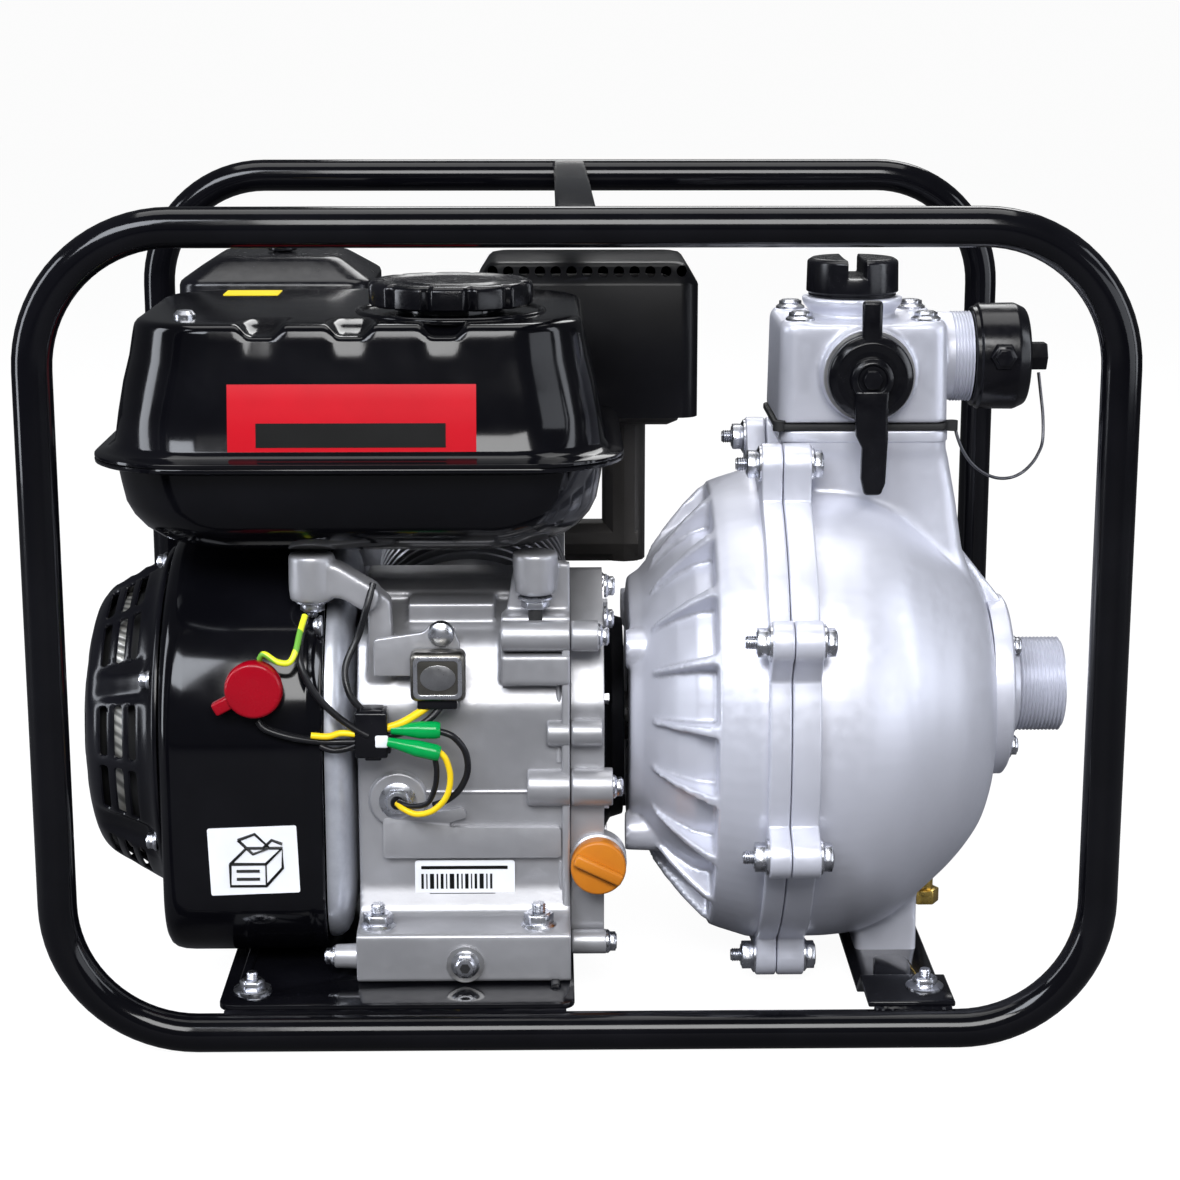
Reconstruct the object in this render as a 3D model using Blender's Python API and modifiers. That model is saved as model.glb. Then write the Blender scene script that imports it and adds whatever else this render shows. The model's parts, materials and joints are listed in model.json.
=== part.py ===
"""Engine-driven centrifugal water pump in a tubular carrying frame.

Sizes are millimetres, turned into metres by MM where a mesh or a place is made. +X runs along the crankshaft from
the recoil starter to the suction port, +Z is up, and the front (the control side) faces -Y. The origin is the middle
of the footprint, on the ground.
"""

import math

import bmesh
import bpy
from mathutils import Matrix, Vector

MM = 0.001
GAP = 0.3

# Frame
FRAME_LENGTH, FRAME_DEPTH, FRAME_HEIGHT = 500.0, 398.0, 392.0
TUBE_RADIUS, TUBE_SIDES, CORNER_RADIUS = 9.0, 8, 63.0
LOOP_Y = FRAME_DEPTH / 2 - TUBE_RADIUS
PLATE_LOW = 2 * TUBE_RADIUS + GAP
PLATE_TOP = PLATE_LOW + 3.0

# Engine
CRANK_Y, CRANK_Z = -52.0, 124.0
BORE_X, BORE_TILT = -55.0, math.radians(25)
BORE_RADIUS, THROW, ROD_LENGTH = 34.3, 22.5, 84.0
PIN_REST = ROD_LENGTH + THROW
SHAFT_RADIUS = 12.5
FAN_LEFT, FAN_RIGHT, FAN_RADIUS = -200.0, -121.0, 97.0
CASE_LEFT, CASE_RIGHT, COVER_FACE = -106.0, -3.5, 23.5
BASE_BOTTOM = PLATE_TOP + GAP
ROPE_X, ROPE_LIFT = -222.0, 47.0

# Tank: the seam's rectangle, its levels and its lip
TANK_X, TANK_Y = (-219.0, 14.0), (-156.0, 32.0)
TANK_BOTTOM, TANK_SEAM, TANK_TOP, TANK_LIP = 224.0, 271.5, 335.0, 8.0
CAP_X, CAP_Y = -60.0, -86.0

# Pump
CASING_Z, FLANGE_Z, PORT_Z = 131.0, 137.0, 140.0
REAR_FACE, REAR_FLANGE, SPLIT_X, FRONT_FLANGE = 26.0, 88.8, 99.0, 112.8
CASING_RADIUS, CASING_WALL, FLANGE_RADIUS = 119.0, 6.0, 125.0
BOLT_CIRCLE, BOLT_COUNT, BOLT_TURN, LUG_RADIUS = 134.0, 8, math.radians(24.2), 10.0
BLOCK_X, BLOCK_Y, BLOCK_Z = (98.0, 181.0), (-88.0, -12.0), (280.0, 328.0)
OUTLET_X, OUTLET_Z = 141.0, 304.0
MOUNT_CIRCLE = 66.0
SIDE_OUTLET_Y, SIDE_OUTLET_Z, PRIMING_X = -50.0, 308.0, 137.0

X_AXIS = Matrix(((0, 0, 1, 0), (1, 0, 0, 0), (0, 1, 0, 0), (0, 0, 0, 1)))
Y_AXIS = Matrix(((1, 0, 0, 0), (0, 0, -1, 0), (0, 1, 0, 0), (0, 0, 0, 1)))
Z_AXIS = Matrix.Identity(4)

for old in list(bpy.data.objects):
    bpy.data.objects.remove(old, do_unlink=True)
parts = bpy.data.collections.new("engine_pump")
cutters = bpy.data.collections.new("cutters")
bpy.context.scene.collection.children.link(parts)
bpy.context.scene.collection.children.link(cutters)


# ---------------------------------------------------------------- materials
def material(name, color, roughness, metallic=0.0):
    made = bpy.data.materials.new(name)
    made.use_nodes = True
    shader = made.node_tree.nodes["Principled BSDF"]
    shader.inputs["Base Color"].default_value = (*color, 1)
    shader.inputs["Roughness"].default_value = roughness
    shader.inputs["Metallic"].default_value = metallic
    made.diffuse_color = (*color, 1)
    return made


GLOSS_BLACK = material("gloss_black_paint", (0.012, 0.012, 0.015), 0.18)
SATIN_BLACK = material("satin_black_plastic", (0.02, 0.02, 0.023), 0.42)
CAST_GREY = material("cast_grey", (0.38, 0.36, 0.34), 0.5, 0.7)
SILVER = material("silver_paint", (0.55, 0.56, 0.6), 0.35, 0.5)
ZINC = material("zinc_steel", (0.7, 0.71, 0.75), 0.28, 1.0)
STEEL = material("machined_steel", (0.55, 0.55, 0.57), 0.3, 1.0)
BRASS = material("brass", (0.72, 0.52, 0.16), 0.3, 1.0)
RUBBER = material("black_rubber", (0.02, 0.02, 0.02), 0.7)
RED = material("red_plastic", (0.75, 0.01, 0.02), 0.3)
ORANGE = material("orange_plastic", (0.95, 0.38, 0.02), 0.4)
FOAM = material("filter_foam", (0.08, 0.08, 0.08), 0.9)
WIRE = material("wire_black", (0.02, 0.02, 0.02), 0.4)


# ---------------------------------------------------------------- shape tools
def place(obj, matrix=None):
    """Links an object made in millimetres about its own axis, at the place given in millimetres."""
    matrix = matrix or Matrix.Identity(4)
    obj.matrix_world = Matrix.Translation(matrix.translation * MM) @ matrix.to_3x3().to_4x4()
    parts.objects.link(obj)
    return obj


def mesh_object(name, bm, finish, matrix=None):
    bmesh.ops.recalc_face_normals(bm, faces=bm.faces)
    for vert in bm.verts:
        vert.co *= MM
    mesh = bpy.data.meshes.new(name)
    bm.to_mesh(mesh)
    bm.free()
    mesh.shade_smooth()
    mesh.set_sharp_from_angle(angle=math.radians(30))
    mesh.materials.append(finish)
    return place(bpy.data.objects.new(name, mesh), matrix)


def box(name, xs, ys, zs, finish, matrix=None, bevel=0.0, taper=1.0):
    """A block between the given pairs of coordinates. Its top is taper times its bottom's width and depth."""
    bm = bmesh.new()
    bmesh.ops.create_cube(bm, size=1)
    middle = Vector(((xs[0] + xs[1]) / 2, (ys[0] + ys[1]) / 2, (zs[0] + zs[1]) / 2))
    size = Vector((xs[1] - xs[0], ys[1] - ys[0], zs[1] - zs[0]))
    for vert in bm.verts:
        narrow = taper if vert.co.z > 0 else 1.0
        vert.co.x *= narrow
        vert.co.y *= narrow
        vert.co = Vector((vert.co[i] * size[i] for i in range(3))) + middle
    if bevel:
        bmesh.ops.bevel(bm, geom=bm.edges[:], offset=bevel, segments=2, profile=0.5, affect="EDGES")
    return mesh_object(name, bm, finish, matrix)


def along(start, end):
    """A frame at start whose Z points to end, and its length."""
    start, end = Vector(start), Vector(end)
    turn = (end - start).to_track_quat("Z", "Y").to_matrix().to_4x4()
    return Matrix.Translation(start) @ turn, (end - start).length


def cylinder(name, start, end, radius, finish, sides=16, end_radius=None):
    matrix, length = along(start, end)
    bm = bmesh.new()
    bmesh.ops.create_cone(
        bm,
        cap_ends=True,
        segments=sides,
        radius1=radius,
        radius2=radius if end_radius is None else end_radius,
        depth=length,
    )
    bmesh.ops.translate(bm, verts=bm.verts, vec=(0, 0, length / 2))
    return mesh_object(name, bm, finish, matrix)


def turned(name, profile, finish, matrix, steps=24):
    """A profile of (radius, height) points, closed on itself or ending on the axis, turned about local Z."""
    bm = bmesh.new()
    points = [bm.verts.new((radius * MM, 0, height * MM)) for radius, height in profile]
    on_axis = profile[0][0] == 0 and profile[-1][0] == 0
    for index in range(len(points) - on_axis):
        bm.edges.new((points[index], points[(index + 1) % len(points)]))
    mesh = bpy.data.meshes.new(name)
    bm.to_mesh(mesh)
    bm.free()
    mesh.materials.append(finish)
    obj = place(bpy.data.objects.new(name, mesh), matrix)
    screw = obj.modifiers.new("turn", "SCREW")
    screw.steps = screw.render_steps = steps
    screw.use_merge_vertices = True
    screw.merge_threshold = 0.00001
    screw.use_smooth_shade = True
    return obj


def to_mesh(obj, finish):
    """The curve as a welded mesh in the same place, because a curve takes no Boolean."""
    graph = bpy.context.evaluated_depsgraph_get()
    mesh = bpy.data.meshes.new_from_object(obj.evaluated_get(graph))
    bm = bmesh.new()
    bm.from_mesh(mesh)
    bmesh.ops.remove_doubles(bm, verts=bm.verts, dist=0.000005)
    bmesh.ops.recalc_face_normals(bm, faces=bm.faces)
    bm.to_mesh(mesh)
    bm.free()
    mesh.shade_smooth()
    mesh.set_sharp_from_angle(angle=math.radians(30))
    mesh.materials.clear()
    mesh.materials.append(finish)
    name, matrix = obj.name, obj.matrix_world.copy()
    bpy.data.objects.remove(obj, do_unlink=True)
    made = bpy.data.objects.new(name, mesh)
    made.matrix_world = matrix
    parts.objects.link(made)
    return made


def plate(name, outlines, low, high, finish, axis=X_AXIS, shift=(0, 0, 0)):
    """Flat outlines, the first one cut by the others, thick from low to high along the local Z of the axis."""
    curve = bpy.data.curves.new(name, "CURVE")
    curve.dimensions = "2D"
    curve.fill_mode = "BOTH"
    curve.extrude = (high - low) / 2 * MM
    for outline in outlines:
        spline = curve.splines.new("POLY")
        spline.points.add(len(outline) - 1)
        spline.use_cyclic_u = True
        for point, (across, up) in zip(spline.points, outline):
            point.co = (across * MM, up * MM, 0, 1)
    middle = axis @ Vector((0, 0, (low + high) / 2)) + Vector(shift)
    obj = place(bpy.data.objects.new(name, curve), Matrix.Translation(middle) @ axis)
    bpy.context.view_layer.update()
    return to_mesh(obj, finish)


def tube(name, route, radius, finish, sides=8, cyclic=False, tilt=0.0):
    curve = bpy.data.curves.new(name, "CURVE")
    curve.dimensions = "3D"
    curve.bevel_depth = radius * MM
    curve.bevel_resolution = sides // 2 - 2
    curve.use_fill_caps = not cyclic
    spline = curve.splines.new("POLY")
    spline.points.add(len(route) - 1)
    spline.use_cyclic_u = cyclic
    for point, place_mm in zip(spline.points, route):
        point.co = (*(value * MM for value in place_mm), 1)
        point.tilt = tilt
    curve.materials.append(finish)
    return place(bpy.data.objects.new(name, curve))


def joined(target, other, how="UNION"):
    """Joins another object to the target, or cuts it out, and keeps the other as a hidden helper."""
    parts.objects.unlink(other)
    cutters.objects.link(other)
    other.hide_render = True
    other.display_type = "WIRE"
    step = target.modifiers.new(other.name, "BOOLEAN")
    step.operation = how
    step.solver = "EXACT"
    step.object = other
    return target


def cut(target, other):
    return joined(target, other, "DIFFERENCE")


def pivot(joint, point, *names):
    """An empty on a joint's axis, which carries the named pieces."""
    empty = bpy.data.objects.new(joint, None)
    empty.matrix_world = Matrix.Translation(Vector(point) * MM)
    parts.objects.link(empty)
    for name in names:
        piece = bpy.data.objects[name]
        piece.parent = empty
        piece.matrix_parent_inverse = empty.matrix_world.inverted()


def circle(radius, center=(0, 0), count=24, start=0.0):
    turns = [start + 2 * math.pi * i / count for i in range(count)]
    return [(center[0] + radius * math.cos(a), center[1] + radius * math.sin(a)) for a in turns]


def rounded(corners, steps=4):
    """An outline with the given (across, up, radius) corners, each replaced by an arc."""
    outline = []
    for index, (across, up, radius) in enumerate(corners):
        here = Vector((across, up))
        before = Vector(corners[index - 1][:2]) - here
        after = Vector(corners[(index + 1) % len(corners)][:2]) - here
        if not radius:
            outline.append((across, up))
            continue
        half = before.angle(after) / 2
        back = radius / math.tan(half)
        center = here + (before.normalized() + after.normalized()).normalized() * radius / math.sin(half)
        first = here + before.normalized() * back - center
        last = here + after.normalized() * back - center
        sweep = first.angle_signed(last)
        for step in range(steps + 1):
            turn = Matrix.Rotation(-sweep * step / steps, 2)
            outline.append(tuple(center + turn @ first))
    return outline


def rectangle(xs, ys, radius, steps=3):
    low_x, high_x, low_y, high_y = xs[0], xs[1], ys[0], ys[1]
    corners = [(low_x, low_y), (high_x, low_y), (high_x, high_y), (low_x, high_y)]
    return rounded([(*corner, radius) for corner in corners], steps)


def grown(pair, amount):
    return pair[0] - amount, pair[1] + amount


def loft(name, levels, finish, xs, ys, radius):
    """A pressing: rounded rectangles (height, growth) bridged in order, with the first and last one closed."""
    bm = bmesh.new()
    rings = []
    for height, growth in levels:
        outline = rectangle(grown(xs, growth), grown(ys, growth), max(radius + growth, 2.0))
        rings.append([bm.verts.new((across, up, height)) for across, up in outline])
    for lower, upper in zip(rings, rings[1:]):
        for i in range(len(lower)):
            after = (i + 1) % len(lower)
            bm.faces.new((lower[i], lower[after], upper[after], upper[i]))
    bm.faces.new(rings[0])
    bm.faces.new(rings[-1])
    return mesh_object(name, bm, finish)


def about_crank(across, up):
    return CRANK_Y + across, CRANK_Z + up


def x_line(y, z):
    """A frame whose local Z is the line along X through a point of the YZ plane."""
    return Matrix.Translation((0, y, z)) @ X_AXIS


def hex_bolt(name, seat, other_seat, radius=3.0, head=6.6, head_height=5.5, tip=8.0):
    """A flanged bolt head at the seat and a flanged nut with a thread tip at the other seat, as one turned piece."""
    matrix, length = along(seat, other_seat)
    flange = head + 1.6
    profile = [
        (0, length + head_height + tip),
        (radius, length + head_height + tip),
        (radius, length + head_height + 1),
        (head, length + head_height + 1),
        (head, length + 1.4),
        (flange, length + GAP),
        (radius, length + GAP),
        (radius, -GAP),
        (flange, -GAP),
        (head, -1.4),
        (head, -head_height),
        (0, -head_height),
    ]
    return turned(name, profile, ZINC, matrix, steps=6)


# ---------------------------------------------------------------- frame
def frame_loop(name, y):
    half, low, high = FRAME_LENGTH / 2 - TUBE_RADIUS, TUBE_RADIUS, FRAME_HEIGHT - TUBE_RADIUS
    outline = rectangle((-half, half), (low, high), CORNER_RADIUS, 6)
    route = [(across, y, up) for across, up in outline]
    half_side = math.pi / TUBE_SIDES
    return tube(name, route, TUBE_RADIUS / math.cos(half_side), GLOSS_BLACK, TUBE_SIDES, True, half_side)


def cross_members():
    top = FRAME_HEIGHT - 0.6
    strap = box("top_cross_strap", (-10, 8), (-187, 187), (top - 6, top), GLOSS_BLACK)
    for side in (-1, 1):
        seat = (side * LOOP_Y, FRAME_HEIGHT - TUBE_RADIUS)
        clear = TUBE_RADIUS / math.cos(math.pi / TUBE_SIDES) + GAP
        start, end = (-30, *seat), (30, *seat)
        cut(strap, cylinder(f"strap_notch_{side}", start, end, clear, GLOSS_BLACK, 24))

    corners = [(-169, -188, 8), (-2, -188, 8), (-2, 188, 8), (-169, 188, 8)]
    holes = [circle(4.2, (x, y), 12) for x in (-96, -19) for y in (-146, 16)]
    plate("engine_cross_plate", [rounded(corners), *holes], PLATE_LOW, PLATE_TOP, GLOSS_BLACK, Z_AXIS)

    foot, drop, slope = 187, 10.3, 12
    low_end, high_end = 152, 152 - slope
    side = [
        (-foot, PLATE_LOW),
        (-low_end - 1.5, PLATE_LOW),
        (-high_end - 1.5, PLATE_LOW - drop),
        (high_end + 1.5, PLATE_LOW - drop),
        (low_end + 1.5, PLATE_LOW),
        (foot, PLATE_LOW),
        (foot, PLATE_TOP),
        (low_end, PLATE_TOP),
        (high_end, PLATE_TOP - drop),
        (-high_end, PLATE_TOP - drop),
        (-low_end, PLATE_TOP),
        (-foot, PLATE_TOP),
    ]
    plate("pump_cross_plate", [side], 136, 177, GLOSS_BLACK)


# ---------------------------------------------------------------- engine block
def bore_frame():
    """Local Z runs up the cylinder from the crank axis, and local X is world X."""
    turn = Matrix(
        (
            (1, 0, 0, 0),
            (0, math.sin(BORE_TILT), math.cos(BORE_TILT), 0),
            (0, -math.cos(BORE_TILT), math.sin(BORE_TILT), 0),
            (0, 0, 0, 1),
        )
    )
    return Matrix.Translation((BORE_X, CRANK_Y, CRANK_Z)) @ turn


BORE = bore_frame()
DECK, BARREL_TOP, HEAD_TOP, ROCKER_TOP = 62.0, 128.0, 160.0, 179.0


def on_bore(up, x=0.0, across=0.0):
    return BORE @ Vector((x, across, up))


def crankcase():
    flange_low, flange_high = on_bore(DECK, across=50), on_bore(DECK, across=-50)
    outline = rounded(
        [
            (-160, BASE_BOTTOM, 0),
            (30, BASE_BOTTOM, 0),
            (30, 46, 3),
            (3, 49, 0),
            (5, 70, 0),
            (flange_low.y, flange_low.z, 0),
            (flange_high.y, flange_high.z, 0),
            (-60, 198, 12),
            (-112, 180, 14),
            (-130, 150, 14),
            (-130, 60, 6),
            (-136, 49, 0),
            (-160, 46, 3),
        ],
        2,
    )
    holes = [(x, y) for x in (-96, -19) for y in (-146, 16)]
    case = plate("crankcase", [outline], CASE_LEFT, CASE_RIGHT, CAST_GREY)
    post_top = TANK_BOTTOM - GAP
    joined(
        case, cylinder("tank_post_right", (-20, -118.4, 138.3), (-20, -118.4, post_top), 11, CAST_GREY, 12)
    )
    joined(case, cylinder("tank_post_left", (-127, -122, 201), (-127, -122, post_top), 11, CAST_GREY, 12))
    joined(case, box("tank_arm", (-126, -86), (-130.3, -114), (202.5, 213), CAST_GREY))
    joined(case, box("tank_arm_root", (-103.5, -87), (-126.6, -113), (141.7, 210), CAST_GREY))
    inside = cylinder("case_hollow", (-98, CRANK_Y, CRANK_Z), (5, CRANK_Y, CRANK_Z), 60, CAST_GREY, 20)
    cut(case, inside)
    cut(case, cylinder("case_bore", on_bore(30), on_bore(DECK + 20), 42.6, CAST_GREY, 20))
    shaft_way = cylinder("case_bearing", (-115, CRANK_Y, CRANK_Z), (-90, CRANK_Y, CRANK_Z), 12.9, CAST_GREY)
    cut(case, shaft_way)
    for index, (x, y) in enumerate(holes):
        cut(case, cylinder(f"base_hole_{index}", (x, y, 10), (x, y, 52), 4.2, CAST_GREY, 12))


def side_cover():
    left, step, right = CASE_RIGHT + GAP, 13.0, COVER_FACE
    outline = rounded(
        [
            (-126, 30, 10),
            (-20, 28, 14),
            (8, 66, 16),
            (17, 146, 24),
            (-24, 192, 14),
            (-62, 204, 12),
            (-108, 184, 14),
            (-127, 150, 12),
        ],
        2,
    )
    shaft = circle(13.3, (CRANK_Y, CRANK_Z), 16)
    cover = plate("crankcase_side_cover", [outline, shaft], left, step, CAST_GREY)
    center = about_crank(0, 0)
    boss = plate("cover_boss", [circle(58, center, 24), circle(13.3, center, 16)], 5, right, CAST_GREY)
    joined(cover, boss)


def barrel():
    fins, root, tip = 4, 44.0, 51.0
    low, pitch, thick = DECK + 8.0, 14.0, 4.0
    outer = [(41.5, DECK - 10), (41.5, DECK + GAP), (49, DECK + GAP), (49, low - 1), (root, low - 1)]
    for fin in range(fins):
        at = low + 3 + fin * pitch
        outer += [(root, at), (tip, at), (tip, at + thick), (root, at + thick)]
    outer += [(root, BARREL_TOP)]
    profile = outer[::-1] + [(BORE_RADIUS, DECK - 10), (BORE_RADIUS, BARREL_TOP)]
    turned("cylinder_barrel", profile, CAST_GREY, BORE, 18)


def head_and_cover():
    head = box("cylinder_head", (-50, 50), (-46, 46), (BARREL_TOP + GAP, HEAD_TOP), CAST_GREY, BORE)
    for index, up in enumerate((138, 148)):
        for side in (-1, 1):
            ys = (side * 60, side * 36)
            slot = box(
                f"head_slot_{index}_{side}", (-60, 60), (min(ys), max(ys)), (up, up + 5), CAST_GREY, BORE
            )
            cut(head, slot)
    cut(head, cylinder("plug_way", on_bore(134, 34), on_bore(170, 34), 9, CAST_GREY, 12))
    box("rocker_cover", (-40, 22), (-38, 38), (HEAD_TOP + GAP, ROCKER_TOP), GLOSS_BLACK, BORE, bevel=4)
    cap = [(0, 196), (9, 196), (9, 172), (11, 170), (11, 162), (8.6, 160), (8.6, 140), (4, 136), (0, 136)]
    turned("spark_plug", cap, RUBBER, BORE @ Matrix.Translation((34, 0, 0)), 10)


def fan_outline(inset, radius):
    """A round top about the crank, on a lower half that squares off to the base."""
    left, right = CRANK_Y - radius, CRANK_Y + radius
    bottom = CRANK_Z - 100 + inset
    top = [
        about_crank(radius * math.cos(a), radius * math.sin(a)) for a in (math.pi * i / 12 for i in range(13))
    ]
    corner = 34 - inset
    low_left = rounded(
        [(left, CRANK_Z, 0), (left, bottom, corner), (right, bottom, corner), (right, CRANK_Z, 0)], 3
    )
    return top + low_left[1:-1]


def cooling():
    housing = plate("fan_housing", [fan_outline(0, FAN_RADIUS)], FAN_LEFT, FAN_RIGHT, GLOSS_BLACK)
    wall = 3.0
    room = plate(
        "fan_room", [fan_outline(wall, FAN_RADIUS - wall)], FAN_LEFT + wall, FAN_RIGHT + 10, GLOSS_BLACK
    )
    switch_y = switch_seat() + 14
    joined(
        housing,
        cylinder("switch_boss", (-152, switch_y, 165), (-152, switch_seat(), 165), 8, GLOSS_BLACK, 12),
    )
    cut(housing, room)
    center = (CRANK_Y, CRANK_Z)
    cut(housing, cylinder("recoil_window", (-215, *center), (-190, *center), 80, GLOSS_BLACK, 28))

    edge = 6.0
    shroud = plate(
        "cooling_shroud", [fan_outline(edge, FAN_RADIUS - edge)], FAN_RIGHT + GAP, CASE_LEFT - GAP, ZINC
    )
    hollow = plate(
        "shroud_room", [fan_outline(edge + 3, FAN_RADIUS - edge - 3)], FAN_RIGHT - 5, CASE_LEFT - 3, ZINC
    )
    cut(shroud, hollow)
    cut(shroud, cylinder("shroud_hole", (-125, *center), (-100, *center), 30, ZINC, 20))


def switch_seat():
    return -146.2


def recoil():
    """Cover, rope pulley, rope and grip. The cover's profile is radius against distance along -X."""
    axis = x_line(CRANK_Y, CRANK_Z)
    face = FAN_LEFT - GAP
    outer = [
        (88, face), (88, face - 3), (84.5, face - 4.5), (82, -208), (75, -220.5), (67, -234), (61, -238.5)
    ]
    outer += [(48, -242), (30, -244.6), (0, -246)]
    inner = [
        (0, -243), (29.5, -241.6), (47, -239), (59, -235.8), (64.5, -231.8), (72, -219), (79.5, -206),
        (79.5, face),
    ]
    cover = turned("recoil_cover", inner + outer, SATIN_BLACK, axis, 22)
    cut(
        cover,
        cylinder(
            "rope_eye", (ROPE_X, -8, CRANK_Z + ROPE_LIFT), (ROPE_X, 40, CRANK_Z + ROPE_LIFT), 3.5, ZINC, 10
        ),
    )
    joined(
        cover,
        cylinder("pulley_post", (-243.5, CRANK_Y, CRANK_Z), (-214, CRANK_Y, CRANK_Z), 8, SATIN_BLACK, 12),
    )
    pulley = [(45, -217), (45, -227), (8.6, -227), (8.6, -217)]
    turned("recoil_pulley", pulley, SATIN_BLACK, axis, 24)
    rope_z = CRANK_Z + ROPE_LIFT
    cylinder("starter_rope", (ROPE_X, -94, rope_z), (ROPE_X, 26, rope_z), 1.6, RUBBER, 8)
    grip = [(ROPE_X - 7, ROPE_X + 7), (26 + GAP, 40), (144, 184)]
    box("starter_grip", *grip, SATIN_BLACK, bevel=3)
    pivot("recoil_pulley_turn", (ROPE_X, CRANK_Y, CRANK_Z), "recoil_pulley")
    pivot("starter_pull", (ROPE_X, 26, rope_z), "starter_rope", "starter_grip")


# ---------------------------------------------------------------- rotating and reciprocating parts
def web_outline(radius=37.0):
    """A crank web: a counterweight on the far side of the pin, and a narrow cheek round the pin."""
    up = Vector((math.cos(BORE_TILT), math.sin(BORE_TILT)))
    across = Vector((-up.y, up.x))
    center = Vector(about_crank(0, 0))
    heavy = [math.radians(90 + 180 * i / 8) for i in range(9)]
    outline = [tuple(center + up * radius * math.cos(a) + across * radius * math.sin(a)) for a in heavy]
    cheek = [(THROW, -18), (THROW + 12, -12), (THROW + 17, 0), (THROW + 12, 12), (THROW, 18)]
    return outline + [tuple(center + up * a + across * b) for a, b in cheek]


def rotor():
    axis = x_line(CRANK_Y, CRANK_Z)
    flywheel = [
        (86, -156), (86, -190), (60, -190), (56, -180), (30, -180), (28, -194), (12.8, -194), (12.8, -150)
    ]
    flywheel += [(30, -150), (32, -156)]
    turned("flywheel", flywheel, CAST_GREY, axis, 24)
    for name, near, far, end in (
        ("crankshaft_flywheel_side", BORE_X - 6.4, BORE_X - 17, -197.0),
        ("crankshaft_pump_side", BORE_X + 6.4, BORE_X + 17, 66.0),
    ):
        web = plate(name, [web_outline()], min(near, far), max(near, far), STEEL)
        start = (near + far) / 2
        journal = cylinder(
            name + "_journal", (start, CRANK_Y, CRANK_Z), (end, CRANK_Y, CRANK_Z), SHAFT_RADIUS, STEEL
        )
        joined(web, journal)
    nose = cylinder("shaft_nose", (60, CRANK_Y, CRANK_Z), (98, CRANK_Y, CRANK_Z), 9, STEEL, 12)
    joined(bpy.data.objects["crankshaft_pump_side"], nose)
    eye, rim = 26.0, 82.0
    impeller = [
        (eye, 92), (eye, 88), (rim, 84), (rim, 72), (24, 68), (9.4, 68), (9.4, 90), (18, 90), (19, 92)
    ]
    turned("impeller", impeller, BRASS, axis, 24)
    turning = ("flywheel", "crankshaft_flywheel_side", "crankshaft_pump_side", "impeller")
    pivot("crank_spin", (BORE_X, CRANK_Y, CRANK_Z), *turning)


def piston_and_rod():
    low, high = PIN_REST - 15, BARREL_TOP - 2
    profile = [(0, high), (34, high), (34, low), (28, low), (28, high - 7), (0, high - 7)]
    piston = turned("piston", profile, STEEL, BORE, 18)
    joined(piston, cylinder("wrist_pin", on_bore(PIN_REST, -30), on_bore(PIN_REST, 30), 7, STEEL, 12))

    up = Vector((math.cos(BORE_TILT), math.sin(BORE_TILT)))
    across = Vector((-up.y, up.x))
    center = Vector(about_crank(0, 0))
    shape = [(PIN_REST - 11, -7), (PIN_REST - 4, -12), (PIN_REST + 5, -11), (PIN_REST + 11, 0)]
    shape += [(PIN_REST + 5, 11), (PIN_REST - 4, 12), (PIN_REST - 11, 7)]
    big = [math.radians(25 + 310 * i / 12) for i in range(13)]
    shape += [(THROW + 20 * math.cos(a), 20 * math.sin(a)) for a in big]
    outline = [tuple(center + up * a + across * b) for a, b in shape]
    small_eye = circle(7.3, tuple(center + up * PIN_REST), 12)
    big_eye = circle(14, tuple(center + up * THROW), 16)
    plate("connecting_rod", [outline, small_eye, big_eye], BORE_X - 6, BORE_X + 6, STEEL)
    pivot("piston_slide", on_bore(PIN_REST), "piston")
    pivot("rod_swing", on_bore(PIN_REST), "connecting_rod")


# ---------------------------------------------------------------- tank, air cleaner, exhaust
def tank():
    seam, wall = TANK_SEAM, 2.0
    side = TANK_TOP - 15
    upper = [(TANK_TOP, -26), (TANK_TOP - 3, -17), (TANK_TOP - 8, -12.5), (side, -10.5), (seam + 2.5, 0)]
    upper += [
        (seam + 2, TANK_LIP), (seam, TANK_LIP), (seam, -wall), (side, -10.5 - wall),
        (TANK_TOP - wall - 1, -19),
    ]
    top = loft("fuel_tank_upper", upper, GLOSS_BLACK, TANK_X, TANK_Y, 30)
    neck = (CAP_X, CAP_Y)
    joined(top, cylinder("filler_neck", (*neck, TANK_TOP - 1), (*neck, TANK_TOP + 3), 25, GLOSS_BLACK, 20))
    cut(top, cylinder("filler_hole", (*neck, TANK_TOP - 20), (*neck, TANK_TOP + 10), 20, GLOSS_BLACK, 20))
    low = seam - GAP
    lower = [(TANK_BOTTOM, -26), (TANK_BOTTOM + 3, -15), (TANK_BOTTOM + 12, -7), (low - 2, -1)]
    lower += [
        (low - 2, TANK_LIP), (low, TANK_LIP), (low, -3), (TANK_BOTTOM + 13, -9), (TANK_BOTTOM + wall, -24)
    ]
    loft("fuel_tank_lower", lower, GLOSS_BLACK, TANK_X, TANK_Y, 34)

    lobes, points = 8, 48
    rim = [38.4 + 1.1 * math.cos(lobes * 2 * math.pi * i / points) for i in range(points)]
    outline = [
        (CAP_X + r * math.cos(2 * math.pi * i / points), CAP_Y + r * math.sin(2 * math.pi * i / points))
        for i, r in enumerate(rim)
    ]
    cap = plate("fuel_cap", [outline], TANK_TOP + 3 + GAP, TANK_TOP + 15, SATIN_BLACK, Z_AXIS)
    joined(cap, cylinder("cap_plug", (*neck, TANK_TOP - 8), (*neck, TANK_TOP + 6), 18, SATIN_BLACK, 16))
    pivot("fuel_cap_turn", (*neck, TANK_TOP + 3), "fuel_cap")


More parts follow.
